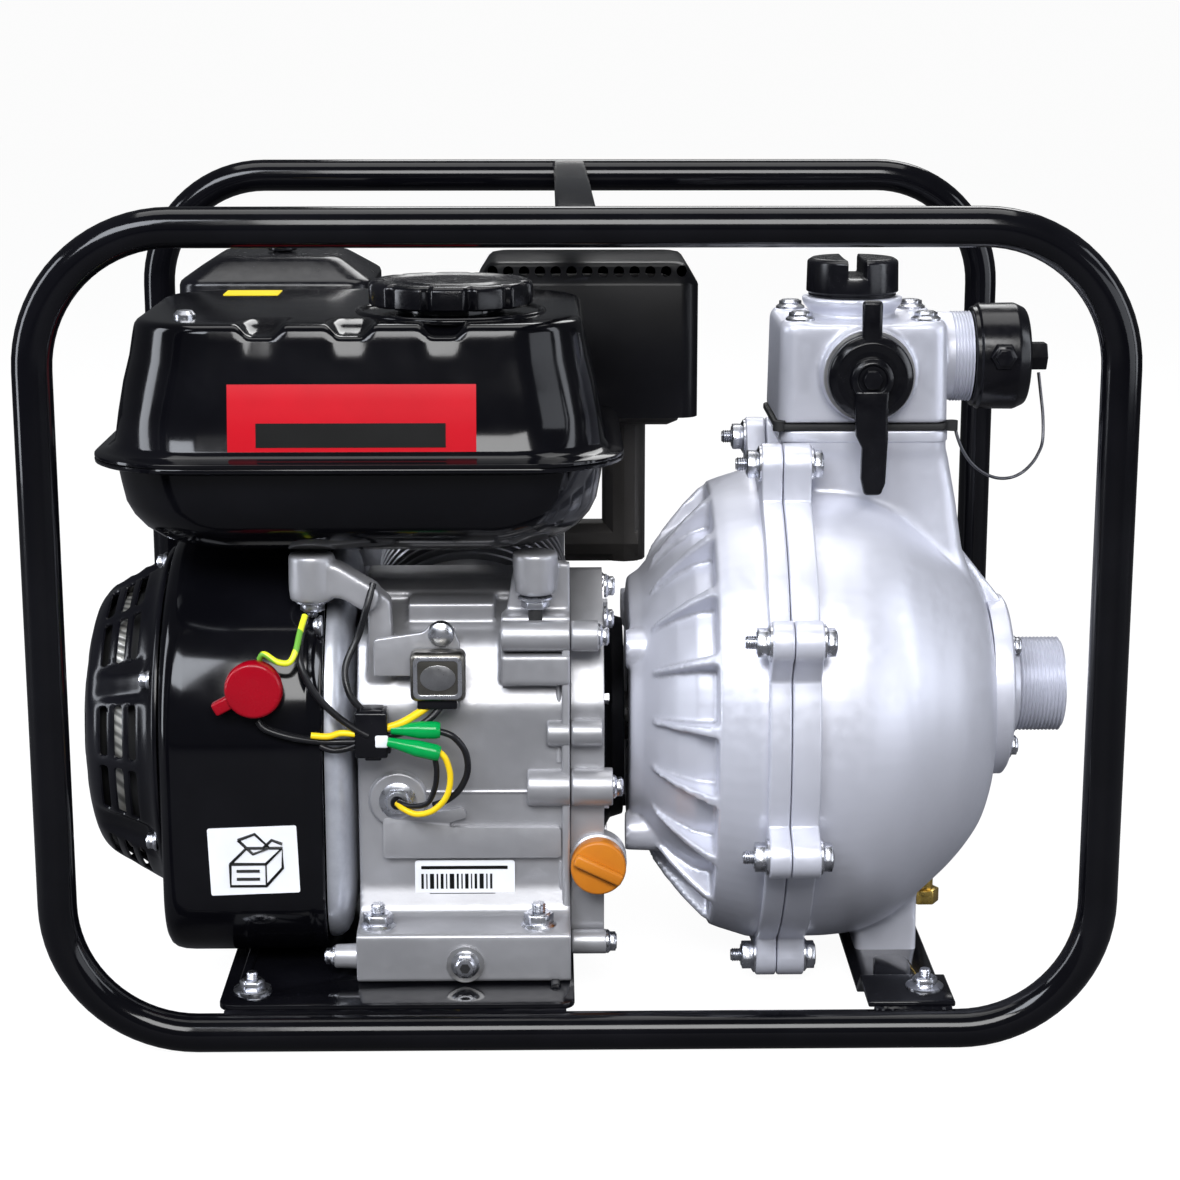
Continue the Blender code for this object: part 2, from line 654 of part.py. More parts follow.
def air_cleaner():
    xs, ys = (-211, -107), (47, 149)
    shelf = 256.0
    base = box(
        "air_cleaner_base", (xs[0] - 2, xs[1] + 2), (ys[0] - 1, ys[1] + 2), (shelf - 6, shelf), SATIN_BLACK
    )
    duct = box("air_duct", (-166, -140.3), (74, 102), (180, shelf - 3), SATIN_BLACK)
    joined(base, duct)
    cut(base, cylinder("duct_hole", (-153, 88, 190), (-153, 88, 270), 9, SATIN_BLACK, 12))
    cut(base, cylinder("duct_side_hole", (-153, 88, 195), (-120, 88, 195), 8, SATIN_BLACK, 12))
    box("air_filter_element", (-198, -120), (60, 136), (shelf + GAP, shelf + 50), FOAM, bevel=6)
    levels = [(343, -24), (341, -19), (322, -3), (316, 0), (shelf + GAP, 0), (shelf + GAP, -2.5), (314, -2.5)]
    levels += [(321, -6), (339, -21)]
    cover = loft("air_cleaner_cover", levels, SATIN_BLACK, xs, ys, 14)
    joined(cover, cylinder("cover_knob", (-159, 98, 339.5), (-159, 98, 351), 7, SATIN_BLACK, 12))


def carburettor():
    body = box("carburettor", (-140, CASE_LEFT + 0.4), (72, 106), (176, 212), CAST_GREY)
    joined(body, cylinder("float_bowl", (-122, 88, 152), (-122, 88, 180), 15, CAST_GREY, 14))
    cut(body, cylinder("carburettor_throat", (-150, 88, 195), (-100, 88, 195), 8, CAST_GREY, 12))
    for name, at, reach, high in (
        ("choke_lever", (-116, 205), 26, True), ("fuel_cock_lever", (-126, 184), 22, False)
    ):
        lever(name, at, 106 + GAP, reach, high)


def lever(name, at, y, reach, upward=True):
    """A flat lever on a round hub that turns about Y, with its pad at the far end."""
    x, z = at
    tip = z + reach if upward else z - reach
    low, high = min(z, tip), max(z, tip)
    shape = box(name, (x - 3, x + 3), (y + 3, y + 6), (low, high), SATIN_BLACK)
    joined(shape, cylinder(name + "_hub", (x, y, z), (x, y + 6.5, z), 6, SATIN_BLACK, 12))
    joined(shape, box(name + "_pad", (x - 5, x + 5), (y + 3, y + 9), (tip - 4, tip + 4), SATIN_BLACK))
    pivot(name + "_turn", (x, y, z), name)


def exhaust():
    xs, ys, top = (-52, 67), (48, 142), 345.0
    levels = [
        (top, -13), (top - 2, -10), (top - 9, -2), (top - 13, 0), (262, 0), (262, -1.6), (top - 13, -1.6)
    ]
    levels += [(top - 8, -4), (top - 3, -12)]
    loft("muffler_guard", levels, SATIN_BLACK, xs, ys, 10)
    muffler = box("muffler", (-44, 59), (56, 134), (256, 332), STEEL, bevel=8)
    joined(muffler, cylinder("exhaust_drop", (28, 84, 262), (28, 84, 178), 12, STEEL, 12))
    joined(muffler, cylinder("exhaust_side", (36, 84, 188), (BORE_X + 50 + GAP, 84, 188), 12, STEEL, 12))


# ---------------------------------------------------------------- small engine parts
def engine_details():
    switch_y = switch_seat() - GAP
    knob = cylinder("engine_switch", (-152, switch_y, 165), (-152, switch_y - 11, 165), 14, RED, 20)
    joined(knob, box("switch_tab", (-173, -160), (switch_y - 8, switch_y - 2), (153, 159), RED))
    pivot("engine_switch_turn", (-152, switch_y, 165), "engine_switch")

    front = -130 - GAP
    unit = box("oil_alert_unit", (-81, -58), (-147, -133), (158, 177), ZINC)
    joined(unit, box("alert_bracket", (-98, -61), (-134, front), (164, 190), ZINC))
    cut(unit, cylinder("bracket_slot", (-86, -140, 182), (-86, -120, 182), 3, ZINC, 10))

    cylinder("oil_level_sensor", (-88, front, 108), (-88, front - 8, 108), 9, ZINC, 12)
    block = box("wiring_harness", (-105.8, -90), (-150, front - 0.5), (130, 151), SATIN_BLACK)
    sensor_route = [(-96, -141, 140), (-84, -143, 137), (-70, -145, 130), (-66, -145, 118), (-74, -145, 105)]
    sensor_route += [(-84, -143.5, 103), (-88, -142, 107)]
    sensor = tube("sensor_lead", sensor_route, 2.2, WIRE, 8)
    unit_lead = tube(
        "unit_lead", [(-98, -143, 146), (-88, -143, 150), (-78, -142, 152.5), (-72, -140, 155.2)], 2.2, WIRE,
        8,
    )
    seat = switch_seat()
    route = [
        (-150, seat - 4, 148), (-145, seat - 5, 143.5), (-130, seat - 5, 139), (-115, seat - 4, 138),
        (-99, -147, 139),
    ]
    switch_lead = tube("switch_lead", route, 2.2, WIRE, 8)
    bpy.context.view_layer.update()
    for lead in (sensor, unit_lead, switch_lead):
        joined(block, to_mesh(lead, WIRE))

    cylinder("oil_drain_bolt", (-54, -160 - GAP, 31), (-54, -168, 31), 8, ZINC, 12)
    filler = cylinder("oil_filler_cap", (10, -129 - GAP, 71), (10, -143, 71), 13.5, ORANGE, 20)
    joined(filler, box("filler_grip", (-2, 22), (-147, -140), (79.5, 84.5), ORANGE))
    neck = cylinder("filler_boss", (10, -120, 71), (10, -129, 71), 13, CAST_GREY, 12)
    joined(bpy.data.objects["crankcase_side_cover"], neck)
    pivot("oil_filler_cap_turn", (10, -129 - GAP, 71), "oil_filler_cap")
    for index, (x, y) in enumerate(((-96, -146), (-19, -146))):
        hex_bolt(f"engine_base_bolt_{index + 1}", (x, y, PLATE_LOW), (x, y, 48.5), 3.4, 7.0, 5.0, 6.0)
    lever("throttle_lever", (-150, 104), CRANK_Y + FAN_RADIUS + GAP, 44)


# ---------------------------------------------------------------- pump
def lug_angles():
    return [BOLT_TURN + 2 * math.pi * (i - 2) / BOLT_COUNT for i in range(BOLT_COUNT)]


def bolt_place(angle):
    """Angles are measured upwards from the front."""
    return CRANK_Y - BOLT_CIRCLE * math.cos(angle), FLANGE_Z + BOLT_CIRCLE * math.sin(angle)


def flange_outline():
    """The flange ring with a round-ended lug at each bolt, going round from the front upwards."""
    outline, half = [], math.asin(LUG_RADIUS / FLANGE_RADIUS)
    for index, angle in enumerate(lug_angles()):
        y, z = bolt_place(angle)
        for step in range(5):
            turn = angle - math.pi / 2 + math.pi * step / 4
            outline.append((y - LUG_RADIUS * math.cos(turn), z + LUG_RADIUS * math.sin(turn)))
        gap_to_next = 2 * math.pi / BOLT_COUNT - 2 * half
        for step in range(3):
            turn = angle + half + gap_to_next * (step + 0.02) / 2.04
            outline.append(
                (CRANK_Y - FLANGE_RADIUS * math.cos(turn), CASING_Z + 3 + FLANGE_RADIUS * math.sin(turn))
            )
    return outline


def flange_plate(name, low, high):
    holes = [circle(4.0, bolt_place(angle), 6) for angle in lug_angles()]
    inner = circle(CASING_RADIUS - CASING_WALL + 1, (CRANK_Y, CASING_Z), 24)
    return plate(name, [flange_outline(), inner, *holes], low, high, SILVER)


def casings():
    axis = x_line(CRANK_Y, CASING_Z)
    wall, split = CASING_WALL, SPLIT_X
    cone = [
        (64, REAR_FACE), (68, 31), (78, 38), (90, 46), (102, 56), (110, 64), (113, 67), (CASING_RADIUS, 84)
    ]
    outer = cone + [(CASING_RADIUS, split)]
    inner = [(radius - wall, at + wall * 0.6) for radius, at in cone]
    inner = [(25, REAR_FACE), (25, REAR_FACE + wall)] + [(62, REAR_FACE + wall)] + inner[1:]
    inner += [(CASING_RADIUS - wall, split)]
    rear = turned("pump_rear_casing", outer[::-1] + inner, SILVER, axis, 26)
    joined(rear, flange_plate("rear_flange", REAR_FLANGE, split))
    for index in range(4):
        turn = math.pi / 4 + index * math.pi / 2
        y, z = about_crank(MOUNT_CIRCLE * math.cos(turn), MOUNT_CIRCLE * math.sin(turn))
        boss = cylinder(f"mount_boss_{index}", (COVER_FACE + GAP, y, z), (REAR_FACE + 4, y, z), 9, SILVER, 12)
        joined(rear, boss)

    left = split + GAP
    dome = [(CASING_RADIUS, left), (118.5, 128), (116.5, 141), (110, 156), (102.5, 166), (94, 176), (85, 186)]
    dome += [(75, 195), (64, 202.5), (52, 207)]
    hollow = [(radius - wall, at - wall * 0.7) for radius, at in dome[2:-1]]
    inner = [
        (CASING_RADIUS - wall, left), (CASING_RADIUS - wall, 126)
    ] + hollow + [(46, 201), (30, 201), (30, 207)]
    front = turned("pump_front_casing", dome[::-1] + inner, SILVER, axis, 26)
    joined(front, flange_plate("front_flange", left, FRONT_FLANGE))
    neck = box("discharge_neck", (120, 200), (-84, -16), (200, 272), SILVER, taper=0.84)
    joined(front, neck)
    joined(front, box("neck_flange", (BLOCK_X[0] + 2, BLOCK_X[1]), BLOCK_Y, (268, BLOCK_Z[0] - 3.6), SILVER))
    joined(front, box("pump_foot", (141, 172), (-92, -12), (PLATE_TOP - 10.3 + GAP, 42), SILVER))
    cut(front, cylinder("neck_way", (150, -50, 215), (145, -50, 290), 22, SILVER, 16))
    cut(front, cylinder("foot_trim", (left + 1, CRANK_Y, CASING_Z), (175, CRANK_Y, CASING_Z), 87, SILVER, 24))

    xs, ys = BLOCK_X, BLOCK_Y
    gasket = [rectangle(grown(xs, 1.5), grown(ys, 1.5), 6, 2), circle(22, (145, -50), 16)]
    plate("discharge_gasket", gasket, BLOCK_Z[0] - 3.3, BLOCK_Z[0] - GAP, RUBBER, Z_AXIS)


def shaft_and_port():
    hole = (CRANK_Y, CRANK_Z)
    outline = [circle(24.6, (CRANK_Y, CASING_Z), 24), circle(12.9, hole, 16)]
    plate("shaft_seal", outline, REAR_FACE + 1, REAR_FACE + 10, RUBBER)
    left = 207 + GAP
    bore, thread = 19.0, 23.9
    profile = [
        (thread - 1, 247), (thread, 246), (thread, 222.5), (25, 222), (25, 217), (45, 217), (46, 216),
        (46, left),
    ]
    profile += [(bore, left), (bore, 247)]
    turned("suction_port", profile, SILVER, x_line(CRANK_Y, PORT_Z), 28)
    flap = [circle(18.5, (CRANK_Y, PORT_Z - 1), 20)]
    plate("suction_flap", flap, 203.3, 206.3, RUBBER)
    pivot("suction_flap_swing", (206, CRANK_Y, PORT_Z + 18), "suction_flap")
    plug = [(0, 45), (4.5, 45), (4.5, 36), (7.5, 36), (7.5, 27), (0, 27)]
    turned("pump_drain_plug", plug, BRASS, Matrix.Translation((181, CRANK_Y, -4)), 6)
    cut(
        bpy.data.objects["pump_front_casing"],
        cylinder("drain_way", (181, CRANK_Y, 20), (181, CRANK_Y, 60), 5, BRASS, 10),
    )


def discharge():
    xs, ys, zs = BLOCK_X, BLOCK_Y, BLOCK_Z
    outline = rectangle(xs, ys, 8, 2)
    block = plate("discharge_block", [outline], *zs, SILVER, Z_AXIS)
    front, side = ys[0] - 6, xs[1] + 15
    top = (PRIMING_X, SIDE_OUTLET_Y)
    middle = (OUTLET_X, SIDE_OUTLET_Y)
    joined(
        block,
        cylinder(
            "front_collar", (OUTLET_X, ys[0] + 4, OUTLET_Z), (OUTLET_X, front, OUTLET_Z), 22.5, SILVER, 24
        ),
    )
    joined(
        block,
        cylinder(
            "side_neck", (xs[1] - 4, SIDE_OUTLET_Y, SIDE_OUTLET_Z), (side, SIDE_OUTLET_Y, SIDE_OUTLET_Z),
            21.5, SILVER, 20,
        ),
    )
    joined(block, cylinder("top_collar", (*top, zs[1] - 4), (*top, zs[1] + 10), 24.5, SILVER, 20))
    cut(block, cylinder("block_well", (*middle, zs[0] - 5), (*middle, 318), 22, SILVER, 16))
    cut(block, cylinder("front_way", (OUTLET_X, -60, OUTLET_Z), (OUTLET_X, -100, OUTLET_Z), 14, SILVER, 16))
    cut(
        block,
        cylinder(
            "side_way", (145, SIDE_OUTLET_Y, SIDE_OUTLET_Z), (210, SIDE_OUTLET_Y, SIDE_OUTLET_Z), 15, SILVER,
            16,
        ),
    )
    cut(block, cylinder("top_way", (*top, 305), (*top, 345), 16, SILVER, 16))

    start = front - GAP
    cap = cylinder(
        "front_outlet_cap", (OUTLET_X, start, OUTLET_Z), (OUTLET_X, start - 11, OUTLET_Z), 20.5, SATIN_BLACK,
        24,
    )
    hub = (OUTLET_X, start - 9, OUTLET_Z), (OUTLET_X, start - 16, OUTLET_Z)
    joined(cap, cylinder("lever_hub", *hub, 10, SATIN_BLACK, 16))
    arm = box("lever_arm", (OUTLET_X - 8, OUTLET_X + 8), (start - 15, start - 8), (248, 300), SATIN_BLACK)
    joined(cap, arm)
    joined(
        cap, box("lever_tab", (OUTLET_X - 5, OUTLET_X + 5), (start - 9, start - 3), (322, 341), SATIN_BLACK)
    )
    pivot("front_outlet_cap_turn", (OUTLET_X, start, OUTLET_Z), "front_outlet_cap")

    face = side + GAP
    profile = [
        (0, 235.4), (5.5, 235.4), (7.5, 233.8), (7.5, 223.6), (22.2, 223.6), (25.2, 221.8), (26.4, 217.6)
    ]
    profile += [(26.4, face), (0, face)]
    turned("side_outlet_cap", profile, SATIN_BLACK, x_line(SIDE_OUTLET_Y, SIDE_OUTLET_Z), 24)
    pivot("side_outlet_cap_turn", (face, SIDE_OUTLET_Y, SIDE_OUTLET_Z), "side_outlet_cap")
    seat = zs[1] + 10 + GAP
    profile = [(0, 357), (19, 357), (22, 355), (22.7, 352), (22.7, seat), (0, seat)]
    cap = turned("priming_cap", profile, SATIN_BLACK, Matrix.Translation((*top, 0)), 24)
    slot = box("cap_slot", (PRIMING_X - 4.5, PRIMING_X + 4.5), (-80, -20), (349, 362), SATIN_BLACK)
    cut(cap, slot)
    pivot("priming_cap_turn", (*top, seat), "priming_cap")

    route = [(231, -50, 299.6), (232.2, -51, 290), (233.3, -54, 278), (232.8, -58, 266.5), (230, -62, 260.5)]
    route += [(226, -66, 256), (220.5, -70, 252.3), (214, -74, 250.6), (206.5, -79, 251.5), (199, -83.5, 255)]
    route += [(192.5, -86.5, 260.5), (188, -88, 267), (185.5, -87.5, 273), (184.2, -86.5, 278)]
    tube("cap_tether", route, 0.8, ZINC, 8)


def casing_bolts():
    """The bolts on the control side, heads on the suction side and nuts on the engine side."""
    for index, angle in enumerate(lug_angles()[:5]):
        y, z = bolt_place(angle)
        bolt = f"casing_bolt_{index + 1}"
        hex_bolt(bolt, (FRONT_FLANGE, y, z), (REAR_FLANGE, y, z), 3.0, 6.4, 6.0, 5.0)


frame_loop("front_frame_loop", -LOOP_Y)
frame_loop("rear_frame_loop", LOOP_Y)
cross_members()
crankcase()
side_cover()
barrel()
head_and_cover()
cooling()
recoil()
rotor()
piston_and_rod()
tank()
air_cleaner()
carburettor()
exhaust()
engine_details()
casings()
shaft_and_port()
discharge()
casing_bolts()
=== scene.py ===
"""The looks of an engine-driven water pump in a tubular frame.

Shapes are written in millimetres and turned into metres by MM. +X runs along the crankshaft from the recoil
starter to the suction port, -Y is the control side and +Z is up, as in the frame.
"""

import json
import math

import bmesh
import bpy
from mathutils import Matrix, Vector

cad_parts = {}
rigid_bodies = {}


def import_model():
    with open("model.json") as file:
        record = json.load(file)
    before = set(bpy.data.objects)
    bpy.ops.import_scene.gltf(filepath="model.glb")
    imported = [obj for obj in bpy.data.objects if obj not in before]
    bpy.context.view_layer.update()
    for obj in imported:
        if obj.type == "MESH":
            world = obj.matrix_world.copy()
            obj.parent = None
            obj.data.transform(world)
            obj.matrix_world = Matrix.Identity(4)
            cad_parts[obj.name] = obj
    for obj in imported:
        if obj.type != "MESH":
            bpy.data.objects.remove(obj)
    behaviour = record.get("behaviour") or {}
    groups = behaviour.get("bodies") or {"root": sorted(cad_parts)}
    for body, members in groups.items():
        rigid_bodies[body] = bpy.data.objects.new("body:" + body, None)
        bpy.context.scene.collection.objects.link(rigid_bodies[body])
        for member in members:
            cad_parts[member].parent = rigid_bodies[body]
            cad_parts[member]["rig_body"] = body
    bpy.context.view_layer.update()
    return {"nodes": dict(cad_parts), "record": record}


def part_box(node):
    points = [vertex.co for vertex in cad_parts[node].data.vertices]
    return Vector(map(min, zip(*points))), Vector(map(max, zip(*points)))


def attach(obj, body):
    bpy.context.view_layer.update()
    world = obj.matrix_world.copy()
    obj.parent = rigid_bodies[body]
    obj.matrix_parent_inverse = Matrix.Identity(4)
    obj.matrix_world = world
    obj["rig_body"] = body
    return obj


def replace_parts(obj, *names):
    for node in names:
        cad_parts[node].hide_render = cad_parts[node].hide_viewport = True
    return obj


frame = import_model()
MM = 0.001


def span(node):
    low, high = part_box(node)
    return low / MM, high / MM


def middle(node):
    low, high = span(node)
    return (low + high) / 2


# ---------------------------------------------------------------- places read from the frame
loop_low, loop_high = span("front_frame_loop")
TUBE = (loop_high.y - loop_low.y) / 2
LOOP_Y = -middle("front_frame_loop").y
CORNER = 63.0
CRANK_Y, CRANK_Z = middle("recoil_pulley").yz
PORT_Z = middle("suction_port").z
FAN_LEFT, FAN_RIGHT = span("fan_housing")[0].x, span("fan_housing")[1].x
FAN_RADIUS = span("fan_housing")[1].y - CRANK_Y
CASE_LEFT, CASE_RIGHT = -106.0, span("crankcase")[1].x
CASE_FRONT = -130.0
BASE_LOW = span("crankcase")[0].z
TANK_SEAM = span("fuel_tank_upper")[0].z
TANK_X, TANK_Y, TANK_LIP = (-219.0, 14.0), (-156.0, 32.0), 8.0
CAP_X, CAP_Y = middle("fuel_cap").xy
CASING_Z, FLANGE_Z = 131.0, 137.0
REAR_FACE, REAR_FLANGE, SPLIT_X, FRONT_FLANGE = 26.0, 88.8, 99.0, 112.8
CASING_RADIUS, FLANGE_RADIUS, LUG_RADIUS = 119.0, 125.0, 10.0
BOLT_CIRCLE, BOLT_COUNT, BOLT_TURN = 134.0, 8, math.radians(24.2)
BLOCK_X, BLOCK_Y, BLOCK_Z = (98.0, 181.0), (-88.0, -12.0), (280.0, 328.0)
OUTLET_X, OUTLET_Z, SIDE_Z = 141.0, 304.0, middle("side_outlet_cap").z
PRIMING_X, OUTLET_Y = middle("priming_cap").x, -50.0
BORE_X, BORE_TILT = -55.0, math.radians(25)
BASE_BOLT_X, BASE_BOLT_Y = (-96, -19), (-146, 16)
FLANGE_HOLE, SHAFT_HOLE, TANK_TOP = 112, 13.3, 335.0
PLATE_TOP = span("engine_cross_plate")[1].z
SWITCH = Vector((-152, span("engine_switch")[1].y, 165))

WORLD_GLOW, WORLD_SEEN = 0.08, 0.97
CAMERA_PLACE, CAMERA_DROP, CAMERA_TURN, LENS = (-0.013, -1.3146, 0.4719), 12.6, -0.92, 78.02
FRONT, LEFT, RIGHT, UP, DOWN = (0, -1, 0), (-1, 0, 0), (1, 0, 0), (0, 0, 1), (0, 0, -1)
X_AXIS = Matrix(((0, 0, 1, 0), (1, 0, 0, 0), (0, 1, 0, 0), (0, 0, 0, 1)))
Y_AXIS = Matrix(((1, 0, 0, 0), (0, 0, -1, 0), (0, 1, 0, 0), (0, 0, 0, 1)))
Z_AXIS = Matrix.Identity(4)
BORE = Matrix.Translation((BORE_X, CRANK_Y, CRANK_Z)) @ Matrix(
    (
        (1, 0, 0, 0),
        (0, math.sin(BORE_TILT), math.cos(BORE_TILT), 0),
        (0, -math.cos(BORE_TILT), math.sin(BORE_TILT), 0),
        (0, 0, 0, 1),
    )
)


def along_x(y, z):
    """Local Z along the machine's X, at a place across it."""
    return Matrix.Translation((0, y, z)) @ X_AXIS


def upright(x, y):
    return Matrix.Translation((x, y, 0))


# ---------------------------------------------------------------- materials
class Nodes:
    """Adds shader nodes to a material and joins them in a line of plain calls."""

    def __init__(self, name):
        self.made = bpy.data.materials.new(name)
        self.made.use_nodes = True
        self.tree = self.made.node_tree
        self.shader = self.tree.nodes["Principled BSDF"]
        self.where = self.add("ShaderNodeTexCoord").outputs["Object"]

    def add(self, kind, **values):
        node = self.tree.nodes.new(kind)
        for key, value in values.items():
            setattr(node, key, value)
        return node

    def join(self, source, target):
        self.tree.links.new(source, target)

    def noise(self, size, detail=4.0, rough=0.55):
        """A noise whose grains are about size millimetres across."""
        grain = self.add("ShaderNodeTexNoise")
        grain.inputs["Scale"].default_value = 1000.0 / size
        grain.inputs["Detail"].default_value = detail
        grain.inputs["Roughness"].default_value = rough
        self.join(self.where, grain.inputs["Vector"])
        return grain.outputs["Fac"]

    def bands(self, pitch):
        """Slanted stripes about pitch millimetres apart."""
        wave = self.add("ShaderNodeTexWave", wave_type="BANDS", bands_direction="DIAGONAL")
        wave.inputs["Scale"].default_value = 1000.0 / pitch / 6.28
        self.join(self.where, wave.inputs["Vector"])
        return wave.outputs["Fac"]

    def spread(self, value, low, high, to_low, to_high):
        """The value's range from low to high, stretched to another range."""
        change = self.add("ShaderNodeMapRange")
        for key, number in zip(("From Min", "From Max", "To Min", "To Max"), (low, high, to_low, to_high)):
            change.inputs[key].default_value = number
        self.join(value, change.inputs["Value"])
        return change.outputs["Result"]

    def mixed(self, factor, first, second):
        """A colour between two, which are colours or sockets."""
        mix = self.add("ShaderNodeMix", data_type="RGBA")
        self.join(factor, mix.inputs["Factor"])
        for socket, color in ((mix.inputs["A"], first), (mix.inputs["B"], second)):
            if hasattr(color, "links"):
                self.join(color, socket)
            else:
                socket.default_value = (*color, 1)
        return mix.outputs["Result"]

    def bump(self, value, height, after=None):
        """Relief of the given height in millimetres."""
        bump = self.add("ShaderNodeBump")
        bump.inputs["Strength"].default_value = 1.0
        bump.inputs["Distance"].default_value = height * MM
        self.join(value, bump.inputs["Height"])
        if after:
            self.join(after, bump.inputs["Normal"])
        return bump.outputs["Normal"]

    def edges(self, low, high):
        """0 at hollows up to the low value, 1 at outer edges from the high value, and a ramp between."""
        point = self.add("ShaderNodeNewGeometry").outputs["Pointiness"]
        return self.spread(point, low, high, 0.0, 1.0)

    def set(self, **values):
        for key, value in values.items():
            socket = self.shader.inputs[key.replace("_", " ")]
            if hasattr(value, "links"):
                self.join(value, socket)
            else:
                socket.default_value = (*value, 1) if isinstance(value, tuple) else value
        return self.made


def gloss_paint(name, color, dust, rough, gloss=0.22):
    """Stoved enamel: deep colour, a little orange peel, and faint dust in the roughness."""
    nodes = Nodes(name)
    film = nodes.spread(nodes.noise(55, 5), 0.45, 0.75, 0.0, 1.0)
    worn = nodes.mixed(nodes.edges(0.56, 0.66), color, tuple(4 * channel for channel in dust))
    base = nodes.mixed(film, worn, dust)
    shine = nodes.spread(nodes.noise(14, 6), 0.3, 0.75, rough, rough + 0.05)
    peel = nodes.bump(nodes.noise(3.2, 2), 0.006)
    coat = {"Specular_IOR_Level": gloss, "Coat_Weight": gloss / 3, "Coat_Roughness": 0.04}
    return nodes.set(Base_Color=base, Roughness=shine, Normal=peel, **coat)


def cast_metal(name, color, shade, metallic, rough, grain, relief):
    """A sand casting: fine grain, mottled tone, brighter rubbed edges and painted shade that darkens the
    inside corners.
    """
    nodes = Nodes(name)
    tone = nodes.spread(nodes.noise(60, 4, 0.5), 0.3, 0.72, 0.0, 1.0)
    cloud = nodes.mixed(tone, shade, color)
    rubbed = tuple(min(1.0, 1.3 * channel) for channel in color)
    worn = nodes.mixed(nodes.edges(0.53, 0.62), cloud, rubbed)
    # Painted shade: the colour falls to 0.3 of the shade tone in hollows and inside corners, where pointiness
    # is low.
    base = nodes.mixed(nodes.edges(0.40, 0.49), tuple(0.3 * channel for channel in shade), worn)
    shine = nodes.spread(nodes.noise(5.0, 5), 0.3, 0.7, rough - 0.04, rough + 0.08)
    coarse = nodes.bump(nodes.noise(grain, 4, 0.6), relief)
    fine = nodes.bump(nodes.noise(0.6, 2), relief * 0.3, after=coarse)
    return nodes.set(Base_Color=base, Metallic=metallic, Roughness=shine, Normal=fine)


def moulded(name, color, pale, rough, grain=0.7, relief=0.02):
    """Moulded plastic or rubber: even colour, spark-eroded grain."""
    nodes = Nodes(name)
    tone = nodes.spread(nodes.noise(24, 4), 0.35, 0.7, 0.0, 1.0)
    shine = nodes.spread(nodes.noise(6, 4), 0.3, 0.7, rough - 0.05, rough + 0.08)
    skin = nodes.bump(nodes.noise(grain, 2), relief)
    return nodes.set(
        Base_Color=nodes.mixed(tone, color, pale), Roughness=shine, Normal=skin, Specular_IOR_Level=0.3
    )


def plated(name, color, shade, rough, metallic=1.0):
    """Plated or machined metal with soft clouding and fine drawn marks."""
    nodes = Nodes(name)
    tone = nodes.spread(nodes.noise(7, 4), 0.35, 0.7, 0.0, 1.0)
    shine = nodes.spread(nodes.noise(3.5, 4), 0.3, 0.7, rough - 0.04, rough + 0.08)
    marks = nodes.bump(nodes.noise(2.4, 2), 0.006)
    return nodes.set(
        Base_Color=nodes.mixed(tone, color, shade), Metallic=metallic, Roughness=shine, Normal=marks
    )


def striped_wire(name, color, stripe, pitch):
    """A two-colour lead, whose stripe winds along it."""
    nodes = Nodes(name)
    base = nodes.mixed(nodes.spread(nodes.bands(pitch), 0.48, 0.56, 0.0, 1.0), color, stripe)
    return nodes.set(Base_Color=base, Roughness=0.38)


def gauze(name):
    """Fine steel gauze, as one set of slanted stripes."""
    nodes = Nodes(name)
    cloth = nodes.bands(1.5)
    base = nodes.mixed(nodes.spread(cloth, 0.1, 0.7, 0.0, 1.0), (0.2, 0.2, 0.19), (0.62, 0.61, 0.57))
    return nodes.set(Base_Color=base, Metallic=0.6, Roughness=0.45, Normal=nodes.bump(cloth, 0.2))


def label_paper(name, color, pale):
    """Printed film with a slightly uneven skin."""
    nodes = Nodes(name)
    tone = nodes.spread(nodes.noise(20, 4), 0.3, 0.7, 0.0, 1.0)
    skin = nodes.bump(nodes.noise(1.2, 2), 0.008)
    return nodes.set(
        Base_Color=nodes.mixed(tone, color, pale), Roughness=0.35, Normal=skin, Specular_IOR_Level=0.2
    )


